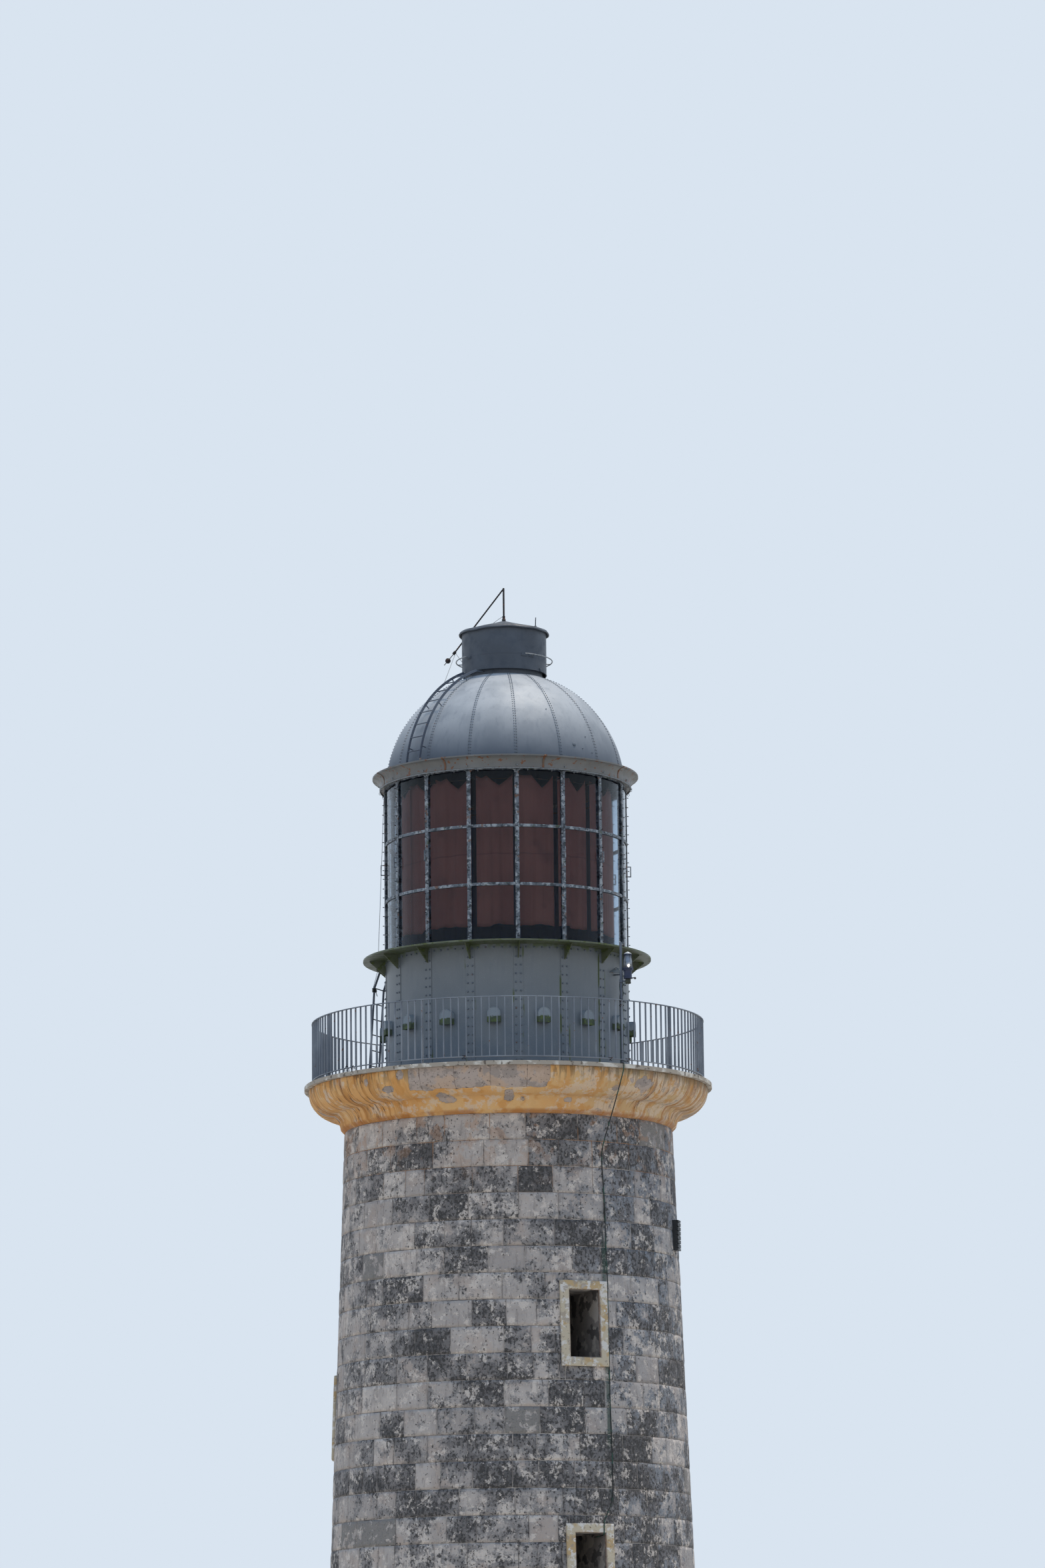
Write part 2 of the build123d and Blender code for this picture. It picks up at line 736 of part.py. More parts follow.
with BuildPart() as lantern_gutter:
    with BuildSketch(section_plane(0, DECK)):
        with BuildLine():
            rim_low = (GUTTER_RADIUS, GUTTER_TOP - GUTTER_RIM)
            foot_high = (GUTTER_FOOT_RADIUS, GUTTER_BOTTOM + GUTTER_FLOOR_RISE)
            hollow = (
                (rim_low[0] + foot_high[0]) / 2 - GUTTER_HOLLOW / 2,
                (rim_low[1] + foot_high[1]) / 2 + GUTTER_HOLLOW,
            )
            inner_low = (GUTTER_FOOT_RADIUS - GUTTER_SHEET, foot_high[1] + GUTTER_SHEET)
            inner_high = (GUTTER_RADIUS - GUTTER_SHEET, rim_low[1] + GUTTER_SHEET / 2)
            inner_hollow = (hollow[0] - GUTTER_SHEET, hollow[1] + GUTTER_SHEET)
            ThreePointArc(foot_high, hollow, rim_low)
            Polyline(
                rim_low,
                (GUTTER_RADIUS, GUTTER_TOP),
                (GUTTER_RADIUS - GUTTER_SHEET, GUTTER_TOP),
                inner_high,
            )
            ThreePointArc(inner_high, inner_hollow, inner_low)
            Polyline(
                inner_low,
                (HEAD_OUTER_RADIUS + GUTTER_SHEET, inner_low[1]),
                (HEAD_OUTER_RADIUS + GUTTER_SHEET, GUTTER_TOP),
                (HEAD_OUTER_RADIUS, GUTTER_TOP),
                (HEAD_OUTER_RADIUS, GUTTER_BOTTOM),
                (GUTTER_FOOT_RADIUS, GUTTER_BOTTOM),
                foot_high,
            )
        make_face()
    revolve(axis=Axis.Z)
save(lantern_gutter.part, "lantern_gutter")

handhold_radius = GUTTER_FOOT_RADIUS - HANDHOLD_ROD
handhold_height = GUTTER_BOTTOM - HANDHOLD_ROD
with BuildPart() as handhold_ring:
    with Locations((0, 0, DECK + handhold_height)):
        Torus(handhold_radius, HANDHOLD_ROD)
save(handhold_ring.part, "handhold_ring")

# Dome of plates, open at the top for the vent
dome_foot = GLAZING_TOP + HEAD_TALL
with BuildPart() as dome_plates:
    with BuildSketch(section_plane(0, DECK + DOME_CENTRE)):
        Circle(DOME_RADIUS)
        Circle(DOME_RADIUS - DOME_SHEET, mode=Mode.SUBTRACT)
        with Locations((NECK_RADIUS, dome_foot - DOME_CENTRE)):
            Rectangle(DOME_RADIUS, DOME_RADIUS, align=(Align.MIN, Align.MIN), mode=Mode.INTERSECT)
    revolve(axis=Axis.Z)
    with Locations((0, 0, DECK + dome_foot)):
        with PolarLocations(0, BAYS, start_angle=BAY_BEARING - 90):
            Box(FAR, PLATE_JOINT, FAR, align=(Align.MIN, Align.CENTER, Align.MIN), mode=Mode.SUBTRACT)
save(dome_plates.part, "dome_plates")

# Vent: neck, drum on struts, and conical cap
neck_foot = DOME_CENTRE + sqrt(DOME_RADIUS**2 - NECK_RADIUS**2) - NECK_LAP
with BuildPart() as vent_neck:
    with BuildSketch(Plane.XY.offset(DECK + neck_foot)):
        Circle(NECK_RADIUS)
        Circle(NECK_RADIUS - NECK_SHEET, mode=Mode.SUBTRACT)
    extrude(amount=NECK_TOP - neck_foot)
save(vent_neck.part, "vent_neck")

cap_slope = CAP_RISE / CAP_RADIUS
drum_top = CAP_APEX - CAP_SHEET - cap_slope * VENT_RADIUS
with BuildPart() as vent_drum:
    with BuildSketch(Plane.XY.offset(DECK + VENT_BOTTOM)):
        Circle(VENT_RADIUS)
        Circle(VENT_RADIUS - VENT_SHEET, mode=Mode.SUBTRACT)
    extrude(amount=drum_top - VENT_BOTTOM)
    with BuildSketch(Plane.XY.offset(DECK + NECK_TOP - STRUT_TALL)):
        with PolarLocations(NECK_RADIUS, STRUT_COUNT, start_angle=STRUT_BEARING - 90):
            Rectangle(
                VENT_RADIUS - NECK_RADIUS - VENT_SHEET / 2,
                STRUT_THICKNESS,
                align=(Align.MIN, Align.CENTER),
            )
    extrude(amount=STRUT_TALL)
save(vent_drum.part, "vent_drum")

stub_foot = CAP_APEX - cap_slope * STUB_RADIUS - CAP_SHEET / 2
with BuildPart() as vent_cap:
    with BuildSketch(section_plane(0, DECK)):
        with BuildLine():
            Polyline(
                (0, CAP_APEX),
                (SOCKET_ROD, CAP_APEX),
                (CAP_RADIUS, CAP_RIM_TOP),
                (CAP_RADIUS, CAP_RIM_TOP - CAP_RIM_TALL),
                (CAP_RADIUS - CAP_SHEET, CAP_RIM_TOP - CAP_RIM_TALL),
                (CAP_RADIUS - CAP_SHEET, CAP_RIM_TOP - CAP_SHEET + cap_slope * CAP_SHEET),
                (0, CAP_APEX - CAP_SHEET),
                close=True,
            )
        make_face()
    revolve(axis=Axis.Z)
    rod(
        spot(STUB_BEARING, STUB_RADIUS, DECK + stub_foot),
        spot(STUB_BEARING, STUB_RADIUS, DECK + stub_foot + STUB_TALL),
        STUB_ROD,
    )
save(vent_cap.part, "vent_cap")

# Grab ring round the vent, broken off in front
grab_turn = GRAB_END - GRAB_START
with BuildPart() as grab_ring:
    with BuildSketch(section_plane(GRAB_START, DECK)):
        with Locations((GRAB_RADIUS, GRAB_HEIGHT)):
            Circle(GRAB_ROD)
    revolve(axis=Axis.Z, revolution_arc=grab_turn)
    for bearing in GRAB_PEGS:
        rod(
            spot(bearing, VENT_RADIUS, DECK + GRAB_HEIGHT),
            spot(bearing, GRAB_RADIUS, DECK + GRAB_HEIGHT),
            GRAB_ROD,
        )
save(grab_ring.part, "grab_ring")

# Lightning mast, folded over to the left behind the vent
mast_foot = DECK + CAP_APEX
mast_top = mast_foot + MAST_TALL


def from_mast_top(step):
    """A point given from the mast's fold."""
    return (step[0], step[1], mast_top + step[2])


arm_direction = Vector(*ARM_COLLAR).normalized()
collar_end = Vector(*from_mast_top(ARM_COLLAR)) + arm_direction * COLLAR_TALL
tip = Vector(*from_mast_top(ARM_TIP))
with BuildPart() as lightning_mast:
    rod((0, 0, mast_foot), (0, 0, mast_foot + SOCKET_TALL), SOCKET_ROD)
    rod((0, 0, mast_foot), (0, 0, mast_top), MAST_ROD)
    with Locations((0, 0, mast_top)):
        Sphere(MAST_ROD)
    rod((0, 0, mast_top), from_mast_top(ARM_COLLAR), ARM_ROD)
    rod(from_mast_top(ARM_COLLAR), tuple(collar_end), COLLAR_ROD)
    rod(tuple(collar_end), tuple(tip), TIP_ROD)
    ball = collar_end + (tip - collar_end) * BALL_ALONG
    with Locations(tuple(ball)):
        Sphere(BALL_ROD)
save(lightning_mast.part, "lightning_mast")

# Wires from the mast's collar to the dome ladder's left side and down to the grab ring
under_arm = Vector(0, 0, -1) - arm_direction * Vector(0, 0, -1).dot(arm_direction)
wire_drop = under_arm.normalized() * (COLLAR_ROD + WIRE_ROD + CLEARANCE)
collar_top = Vector(*from_mast_top(ARM_COLLAR))
wire_top = collar_top + arm_direction * (3 * COLLAR_TALL / 4) + wire_drop
grab_wire_top = collar_top + arm_direction * (COLLAR_TALL / 4) + wire_drop
wire_reach = DOME_RADIUS + DOME_LADDER_STANDOFF + STRINGER_DEPTH + WIRE_ROD + CLEARANCE
ladder_side = Vector(-cos(radians(DOME_LADDER_BEARING)), -sin(radians(DOME_LADDER_BEARING)), 0)
wire_foot = (
    Vector(
        *spot(
            DOME_LADDER_BEARING,
            wire_reach * cos(radians(WIRE_FOOT_ANGLE)),
            DECK + DOME_CENTRE + wire_reach * sin(radians(WIRE_FOOT_ANGLE)),
        )
    )
    + ladder_side * (DOME_LADDER_WIDTH - STRINGER_THICKNESS) / 2
)
collar_bearing = degrees(atan2(ARM_COLLAR[0], -ARM_COLLAR[1]))
grab_wire_foot = spot(
    collar_bearing,
    GRAB_RADIUS,
    DECK + GRAB_HEIGHT + GRAB_ROD + WIRE_ROD + CLEARANCE,
)
wire_gap = WIRE_ROD + LAY_GAP
side_wire_end = (LADDER_HEAD_RADIUS + LADDER_ROD + wire_gap) / cos(radians(SIDE_WIRE_TURN))
with BuildPart() as mast_wire:
    rod(tuple(wire_top), tuple(wire_foot), WIRE_ROD)
with BuildPart() as grab_wire:
    rod(tuple(grab_wire_top), grab_wire_foot, WIRE_ROD)
    with Locations(grab_wire_foot):
        Sphere(WIRE_ROD)
with BuildPart() as side_wire:
    bent_rod(
        [
            spot(SIDE_WIRE_BEARING, handhold_radius, DECK + handhold_height - HANDHOLD_ROD - LAY_GAP),
            spot(LADDER_BEARING, LEDGE_RADIUS + wire_gap, DECK + LEDGE_TOP),
            spot(LADDER_BEARING + SIDE_WIRE_TURN, side_wire_end, DECK + LADDER_BEND_HEIGHT),
        ],
        WIRE_ROD,
    )
stay_wires = gather([mast_wire.part, grab_wire.part, side_wire.part])
save(stay_wires.part, "stay_wires")

# Ladder over the dome, drawn along +X and turned to its bearing
stringer_inner = DOME_RADIUS + DOME_LADDER_STANDOFF
stringer_outer = stringer_inner + STRINGER_DEPTH
stringer_middle = stringer_inner + STRINGER_DEPTH / 2
ladder_start = degrees(asin((GUTTER_TOP - DOME_CENTRE) / stringer_inner))
dome_middle = DECK + DOME_CENTRE


def on_dome(angle, radius, side):
    """A point over the dome along +X, set off to one side by half the ladder's width."""
    offset = side * (DOME_LADDER_WIDTH - STRINGER_THICKNESS) / 2
    return (radius * cos(radians(angle)), offset, dome_middle + radius * sin(radians(angle)))


with BuildPart() as straight_dome_ladder:
    for side in (-1, 1):
        edge = side * DOME_LADDER_WIDTH / 2
        with BuildSketch(Plane(origin=(0, edge, dome_middle), x_dir=(1, 0, 0), z_dir=(0, -side, 0))):
            Circle(stringer_outer)
            Circle(stringer_inner, mode=Mode.SUBTRACT)
            with BuildLine():
                rays = [
                    (FAR * cos(radians(angle)), side * FAR * sin(radians(angle)))
                    for angle in (ladder_start, DOME_LADDER_TOP_ANGLE)
                ]
                Polyline((0, 0), rays[0], rays[1], close=True)
            make_face(mode=Mode.INTERSECT)
        extrude(amount=STRINGER_THICKNESS)
        for angle in STANDOFF_ANGLES:
            rod(on_dome(angle, DOME_RADIUS, side), on_dome(angle, stringer_middle, side), RUNG_ROD)
        top_end = on_dome(TOP_LUG_ANGLE, stringer_middle, side)
        neck_touch = sqrt(NECK_RADIUS**2 - (abs(top_end[1]) - RUNG_ROD) ** 2) + CLEARANCE
        rod(top_end, (neck_touch, top_end[1], DECK + VENT_BOTTOM - 2 * RUNG_ROD), RUNG_ROD)
    for i in range(DOME_RUNGS):
        angle = DOME_RUNG_FIRST_ANGLE + DOME_RUNG_STEP_ANGLE * i
        rod(on_dome(angle, stringer_middle, -1), on_dome(angle, stringer_middle, 1), RUNG_ROD)
dome_ladder = around(straight_dome_ladder.part, 1, DOME_LADDER_BEARING)
save(dome_ladder.part, "dome_ladder")

# Ladder from the gallery deck up to the ledge, hooked in under it
lean = (LADDER_FOOT_RADIUS - LADDER_HEAD_RADIUS) / LADDER_BEND_HEIGHT
with BuildPart() as straight_gallery_ladder:
    for side in (-1, 1):
        edge = side * LADDER_WIDTH / 2
        bent_rod(
            [
                (LADDER_FOOT_RADIUS + lean * LADDER_ROD, edge, DECK - LADDER_ROD),
                (LADDER_HEAD_RADIUS, edge, DECK + LADDER_BEND_HEIGHT),
                (LADDER_HEAD_RADIUS - LADDER_HOOK_IN, edge, DECK + LADDER_BEND_HEIGHT + LADDER_HOOK_UP),
                (strap_outer + LADDER_END_GAP, edge, DECK + BASE_TOP - LADDER_ROD),
            ],
            LADDER_ROD,
        )
    for i in range(LADDER_RUNGS):
        height = LADDER_RUNG_FIRST + LADDER_RUNG_PITCH * i
        reach = LADDER_FOOT_RADIUS - lean * height
        rod((reach, -LADDER_WIDTH / 2, DECK + height), (reach, LADDER_WIDTH / 2, DECK + height), RUNG_ROD)
    with Locations((0, 0, DECK)):
        Box(FAR, FAR, 4 * LADDER_ROD, align=(Align.CENTER, Align.CENTER, Align.MAX), mode=Mode.SUBTRACT)
gallery_ladder = around(straight_gallery_ladder.part, 1, LADDER_BEARING)
save(gallery_ladder.part, "gallery_ladder")

# Beacon lamp on its pole by the railing
pole_radius = RAIL_RADIUS - RAIL_WIDTH - POLE_ROD - CLEARANCE
pole_spot = Vector(*spot(BEACON_BEARING, pole_radius, DECK))
lamp_x = pole_spot.X + LAMP_SHIFT
lamp_y = pole_spot.Y
with BuildPart() as beacon_pole:
    rod(
        (pole_spot.X, pole_spot.Y, DECK),
        (pole_spot.X, pole_spot.Y, DECK + POLE_TOP),
        POLE_ROD,
    )
save(beacon_pole.part, "beacon_pole")

with BuildPart() as beacon_base:
    rod((lamp_x, lamp_y, DECK + LAMP_BASE_BOTTOM), (lamp_x, lamp_y, DECK + LAMP_BASE_TOP), LAMP_BASE_ROD)
    rod((lamp_x, lamp_y, DECK + LAMP_BASE_TOP), (lamp_x, lamp_y, DECK + LAMP_FLANGE_TOP), LAMP_FLANGE_ROD)
    rod((lamp_x, lamp_y, DECK + LENS_TOP), (lamp_x, lamp_y, DECK + LENS_TOP + LAMP_CAP_TALL), LAMP_CAP_ROD)
    with BuildSketch(Plane.XY.offset(DECK + LAMP_BASE_BOTTOM - JUNCTION_SIZE)):
        with Locations((lamp_x, lamp_y)):
            Rectangle(JUNCTION_SIZE, JUNCTION_SIZE)
    extrude(amount=JUNCTION_SIZE)
save(beacon_base.part, "beacon_base")

with BuildPart() as beacon_lens:
    with BuildSketch(Plane(origin=(lamp_x, lamp_y, DECK + LAMP_FLANGE_TOP))):
        Circle(LENS_FOOT_ROD)
    with BuildSketch(Plane(origin=(lamp_x, lamp_y, DECK + LENS_TOP))):
        Circle(LENS_HEAD_ROD)
    loft()
save(beacon_lens.part, "beacon_lens")

conduit_radius = strap_outer + CONDUIT_OUT
arm_height = DECK + LAMP_BASE_BOTTOM - JUNCTION_SIZE / 2
with BuildPart() as beacon_bracket:
    rod(
        spot(CONDUIT_BEARING, conduit_radius, DECK + CONDUIT_BOTTOM),
        spot(CONDUIT_BEARING, conduit_radius, DECK + CONDUIT_TOP),
        CONDUIT_ROD,
    )
    rod(
        spot(CONDUIT_BEARING, BASE_RADIUS, DECK + CONDUIT_TOP - ARM_BAR),
        spot(CONDUIT_BEARING, conduit_radius, DECK + CONDUIT_TOP - ARM_BAR),
        ARM_BAR / 2,
    )
    rod(
        spot(CONDUIT_BEARING, conduit_radius, arm_height),
        (pole_spot.X, pole_spot.Y, arm_height),
        ARM_BAR / 2,
    )
    rod((pole_spot.X, pole_spot.Y, arm_height), (lamp_x, lamp_y, arm_height), ARM_BAR / 2)
    with Locations((pole_spot.X, pole_spot.Y, arm_height)):
        Cylinder(POLE_ROD + CLAMP_SHEET, CLAMP_TALL)
        Cylinder(POLE_ROD, CLAMP_TALL, mode=Mode.SUBTRACT)
    with Locations((lamp_x, lamp_y, arm_height)):
        Box(JUNCTION_SIZE, JUNCTION_SIZE, JUNCTION_SIZE, mode=Mode.SUBTRACT)
save(beacon_bracket.part, "beacon_bracket")

# Lamp cable, from the pole's foot over the edge and down to the second window
cable_gap = CABLE_ROD + LAY_GAP
upper_window = windows[0][1]
lower_window = windows[360 // WINDOW_TURN][1]
surround_half_tall = WINDOW_TALL / 2 + SURROUND_BORDER
surround_half_wide = WINDOW_WIDTH / 2 + SURROUND_BORDER
upper_surround_top = upper_window + surround_half_tall
upper_surround_foot = upper_window - surround_half_tall
lower_surround_top = lower_window + surround_half_tall
cable_end = lower_window + WINDOW_TALL / 2 - cable_gap
landing = NECK_HEIGHT - CABLE_LANDING_DROP
beside_surround = (surround_half_wide + cable_gap) / tower_radius(upper_surround_top)
cable_bearing = WINDOW_BEARING + degrees(asin(beside_surround))
cable_end_bearing = WINDOW_BEARING + CABLE_END_TURN


def on_wall(bearing, height, clearance=0):
    """Middle of the cable where it lies on the wall, or that much further out."""
    return spot(bearing, tower_radius(height) + cable_gap + clearance, height)


with BuildPart() as beacon_cable:
    bent_rod(
        [
            spot(cable_bearing + CABLE_START_TURN, pole_radius, DECK + cable_gap),
            spot(cable_bearing, DECK_RADIUS + cable_gap, DECK + cable_gap),
            spot(cable_bearing, DECK_RADIUS + cable_gap, DECK - DECK_THICKNESS - cable_gap),
            on_wall(cable_bearing, landing),
            on_wall(cable_bearing, upper_surround_top),
            on_wall(cable_bearing, upper_surround_foot),
            on_wall(cable_bearing, lower_surround_top + CABLE_LIFT),
            on_wall(cable_end_bearing, lower_surround_top, SURROUND_PROUD),
            on_wall(cable_end_bearing, cable_end, SURROUND_PROUD),
            spot(cable_end_bearing, tower_radius(cable_end) - CABLE_TAIL, cable_end - cable_gap),
        ],
        CABLE_ROD,
    )
save(beacon_cable.part, "beacon_cable")

# Black finned box beside the right-hand outline
box_height = DECK - BOX_MIDDLE_DROP
with BuildPart() as finned_box:
    with BuildSketch(facing_plane(BOX_BEARING, 0, box_height)):
        Rectangle(BOX_WIDTH, BOX_TALL)
    extrude(amount=tower_radius(box_height) + BOX_PROUD)
    with BuildSketch(facing_plane(BOX_BEARING, tower_radius(box_height) + BOX_PROUD, box_height)):
        with GridLocations(0, BOX_TALL / BOX_FINS, 1, BOX_FINS):
            Rectangle(BOX_WIDTH, BOX_FIN)
    extrude(amount=-BOX_FIN_DEPTH, mode=Mode.SUBTRACT)
    with BuildSketch(section_plane(0)):
        with BuildLine():
            Polyline(
                (0, 0),
                (tower_radius(0), 0),
                (tower_radius(NECK_HEIGHT), NECK_HEIGHT),
                (0, NECK_HEIGHT),
                close=True,
            )
        make_face()
    revolve(axis=Axis.Z, mode=Mode.SUBTRACT)
save(finned_box.part, "finned_box")
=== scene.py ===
"""Masonry lighthouse with a riveted iron lantern: its looks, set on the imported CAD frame.

Metres, +Z up, the origin in the middle of the tower's foot. Bearings are in degrees from
the front (-Y) towards the right (+X). Lantern heights are given above the gallery deck.
"""

import json
from itertools import product
from math import cos, degrees, pi, radians, sin

import bmesh
import bpy
import numpy as np
from mathutils import Matrix, Vector


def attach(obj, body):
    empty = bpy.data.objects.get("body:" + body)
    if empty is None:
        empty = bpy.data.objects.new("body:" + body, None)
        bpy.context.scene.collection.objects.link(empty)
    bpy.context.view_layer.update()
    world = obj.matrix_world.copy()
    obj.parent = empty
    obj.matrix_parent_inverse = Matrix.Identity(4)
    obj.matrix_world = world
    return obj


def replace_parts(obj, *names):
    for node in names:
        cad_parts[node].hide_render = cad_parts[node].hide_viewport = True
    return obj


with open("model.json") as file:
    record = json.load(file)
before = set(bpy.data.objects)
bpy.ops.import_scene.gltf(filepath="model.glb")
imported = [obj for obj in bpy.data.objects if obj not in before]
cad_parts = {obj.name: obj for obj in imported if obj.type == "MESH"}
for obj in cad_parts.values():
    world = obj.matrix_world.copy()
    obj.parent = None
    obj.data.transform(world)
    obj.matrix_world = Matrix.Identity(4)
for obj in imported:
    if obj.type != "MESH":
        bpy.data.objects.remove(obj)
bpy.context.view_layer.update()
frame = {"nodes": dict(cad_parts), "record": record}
BODY = "root"

# Masonry sizes
COURSE = 0.404
COURSES = 41
NECK = COURSE * COURSES
TOP_RADIUS = 2.55
BATTER = 0.036
BLOCK_LENGTH = 0.6
BLOCK_BACK = 0.005
JOINT_WIDE = 0.004
JOINT_TALL = 0.0035
SHAFT_RADIUS = 1.65
DECK = NECK + 0.72
DECK_BOTTOM = DECK - 0.06
CORNICE_RADIUS = 2.9
WINDOW_TURN = 120
WINDOW_BEARING = 24.7
WINDOWS = [((WINDOW_BEARING - WINDOW_TURN * i) % 360, 13.38 - 1.215 * i) for i in range(9)]
OPENING_HALF = 0.245
OPENING_TALL = 1.01
BORDER = 0.142
SURROUND_PROUD = 0.05
DOOR_HALF = 0.45
DOOR_TALL = 2.1
HIDDEN_EDGE = 0.06

# Lantern sizes
BAYS = 16
BAY_TURN = 360 / BAYS
SEAM_BEARING = 5.2
BASE_RADIUS = 1.9
STRAP_RADIUS = 1.908
DOME_RADIUS = 1.885
DOME_CENTRE = DECK + 4.7
VENT_APEX = DECK + 7.441
RAIL_RADIUS = 1.65

UP = np.array([0.0, 0.0, 1.0])
random = np.random.default_rng(7)


def spot(bearing, radius, height):
    """Points at bearings and distances from the axis, as an array of positions."""
    turn = np.radians(bearing)
    return np.stack(np.broadcast_arrays(radius * np.sin(turn), -radius * np.cos(turn), height), -1)


def outward(bearing):
    """The directions outwards and to the right hand at a bearing."""
    return spot(bearing, 1.0, 0.0), spot(bearing + 90, 1.0, 0.0)


def tower_radius(height):
    return TOP_RADIUS + BATTER * (NECK - height)


def seam(number):
    """Bearing of one of the lantern's seams, or of a place between two."""
    return SEAM_BEARING + BAY_TURN * number


def lumps(points, size, seed=0):
    """Smooth random values from -1 to 1, with lumps of one size, at each point."""
    cells = np.floor(points / size).astype(np.int64)
    part = points / size - cells
    part = part * part * (3 - 2 * part)
    total = np.zeros(points.shape[:-1])
    for corner in product((0, 1), repeat=3):
        x, y, z = np.moveaxis(cells + corner, -1, 0)
        mixed = (x * 73856093) ^ (y * 19349663) ^ (z * 83492791) ^ (seed * 40503)
        mixed = ((mixed ^ (mixed >> 13)) * 1274126177) & 0x7FFFFFFF
        value = (mixed ^ (mixed >> 15)) % 65536 / 32767.5 - 1
        total += value * np.prod(np.where(corner, part, 1 - part), axis=-1)
    return total


def rough(points, size, seed=0):
    """Lumps with two finer layers on them."""
    fine = lumps(points, size / 2.1, seed + 1) / 2 + lumps(points, size / 4.3, seed + 2) / 4
    return (lumps(points, size, seed) + fine) / 1.75


def smooth_step(value, low, high):
    part = np.clip((value - low) / (high - low), 0, 1)
    return part * part * (3 - 2 * part)


def bent_through(start, middle, end, count=12):
    """Points on a parabola from one point through another to a third."""
    start, middle, end = np.array([start, middle, end])
    t = np.linspace(0, 1, count)[:, None]
    control = 2 * middle - (start + end) / 2
    return (1 - t) ** 2 * start + 2 * t * (1 - t) * control + t**2 * end


def grid_quads(rows, columns, start=0, wrap=False):
    """Quads of a grid of points stored row by row, the last column joined to the first if it wraps."""
    row = np.arange(rows - 1)[:, None] * columns + start
    column = np.arange(columns if wrap else columns - 1)[None, :]
    after = (column + 1) % columns
    quads = np.stack([row + column, row + after, row + columns + after, row + columns + column], -1)
    return quads.reshape(-1, 4)


def grid_border(rows, columns):
    """The border of a grid of points as one ring that starts along the first row."""
    index = np.arange(rows * columns).reshape(rows, columns)
    return np.concatenate([index[0], index[1:, -1], index[-1, -2::-1], index[-2:0:-1, 0]])


def side_quads(front, back):
    """Quads from one closed ring of points to the one behind it."""
    return np.stack([np.roll(front, -1), front, back, np.roll(back, -1)], -1)


class Shape:
    """Points and faces gathered from several parts of one finish, to make one object."""

    def __init__(self, parts=()):
        self.points, self.corners, self.sizes = [], [], []
        self.values = {}
        self.count = 0
        for part in parts:
            self.add(*part)

    def add(self, points, faces, **values):
        """Faces is a list of arrays: rows of quads, or one flat array for one face."""
        points = np.asarray(points, dtype=float).reshape(-1, 3)
        for face in faces:
            face = np.asarray(face)
            self.corners.append(face.ravel() + self.count)
            rows, sides = face.shape if face.ndim == 2 else (1, len(face))
            self.sizes.append(np.full(rows, sides))
        for key, value in values.items():
            self.values.setdefault(key, []).append(np.broadcast_to(np.ravel(value), len(points)))
        self.points.append(points)
        self.count += len(points)

    def piece(self, name, slot, material=None, smooth=True):
        mesh = bpy.data.meshes.new(name)
        sizes = np.concatenate(self.sizes).astype(np.int32)
        corners = np.concatenate(self.corners).astype(np.int32)
        mesh.vertices.add(self.count)
        mesh.vertices.foreach_set("co", np.concatenate(self.points).astype(np.float32).ravel())
        mesh.loops.add(len(corners))
        mesh.loops.foreach_set("vertex_index", corners)
        mesh.polygons.add(len(sizes))
        mesh.polygons.foreach_set("loop_start", (np.cumsum(sizes) - sizes).astype(np.int32))
        mesh.update(calc_edges=True)
        for key, values in self.values.items():
            layer = mesh.attributes.new(key, "FLOAT", "POINT")
            layer.data.foreach_set("value", np.concatenate(values).astype(np.float32))
        mesh.validate()
        if smooth:
            mesh.shade_smooth()
        return finished(name, mesh, slot, material)


def in_scene(name, data):
    """An object for a mesh, curve, light or camera, linked to the scene."""
    made = bpy.data.objects.new(name, data)
    bpy.context.scene.collection.objects.link(made)
    return made


def finished(name, mesh, slot, material=None):
    """An object for a finished mesh, with its material, slot and body."""
    made = in_scene(name, mesh)
    mesh.materials.clear()
    mesh.materials.append(material or materials[slot])
    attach(made, BODY)
    return made


def ring_faces(rows, columns):
    """Faces of a closed section carried all the way round."""
    last = (rows - 1) * columns
    ring = np.arange(columns)
    after = np.roll(ring, -1)
    closing = np.stack([last + ring, last + after, after, ring], -1)
    return [grid_quads(rows, columns, wrap=True), closing]


def turned(outline, sides, centre=(0, 0, 0)):
    """A closed outline of distances and heights, given upwards on its outside, turned round."""
    bearings = np.linspace(0, 360, sides, endpoint=False)
    outline = np.asarray(outline, dtype=float)
    points = spot(bearings[None, :], outline[:, :1], outline[:, 1:]) + np.array(centre)
    return points, ring_faces(len(outline), sides)


def tube(path, radius, sides=8, closed=False):
    """A round tube along a path, with flat ends unless it is closed."""
    path = np.asarray(path, dtype=float)
    ahead = np.roll(path, -1, 0) - np.roll(path, 1, 0) if closed else np.gradient(path, axis=0)
    ahead /= np.linalg.norm(ahead, axis=1, keepdims=True)
    across = np.cross(ahead[0], (0.31, 0.17, 0.94))
    across /= np.linalg.norm(across)
    rings = []
    turn = np.linspace(0, 2 * pi, sides, endpoint=False)[:, None]
    for point, way, size in zip(path, ahead, np.broadcast_to(radius, len(path))):
        across = across - way * np.dot(across, way)
        across /= np.linalg.norm(across)
        rings.append(point + size * (np.cos(turn) * across + np.sin(turn) * np.cross(way, across)))
    points = np.concatenate(rings)
    if closed:
        return points, ring_faces(len(path), sides)
    ends = [np.arange(sides)[::-1], (len(path) - 1) * sides + np.arange(sides)]
    return points, [grid_quads(len(path), sides, wrap=True)] + ends


def hoop(centre, radius, thick, across=(1, 0, 0), up=(0, 1, 0), count=24, sides=8):
    """A ring of round bar about a centre, in the plane of two directions."""
    turn = np.linspace(0, 2 * pi, count, endpoint=False)[:, None]
    return tube(centre + radius * (np.cos(turn) * across + np.sin(turn) * up), thick, sides, closed=True)


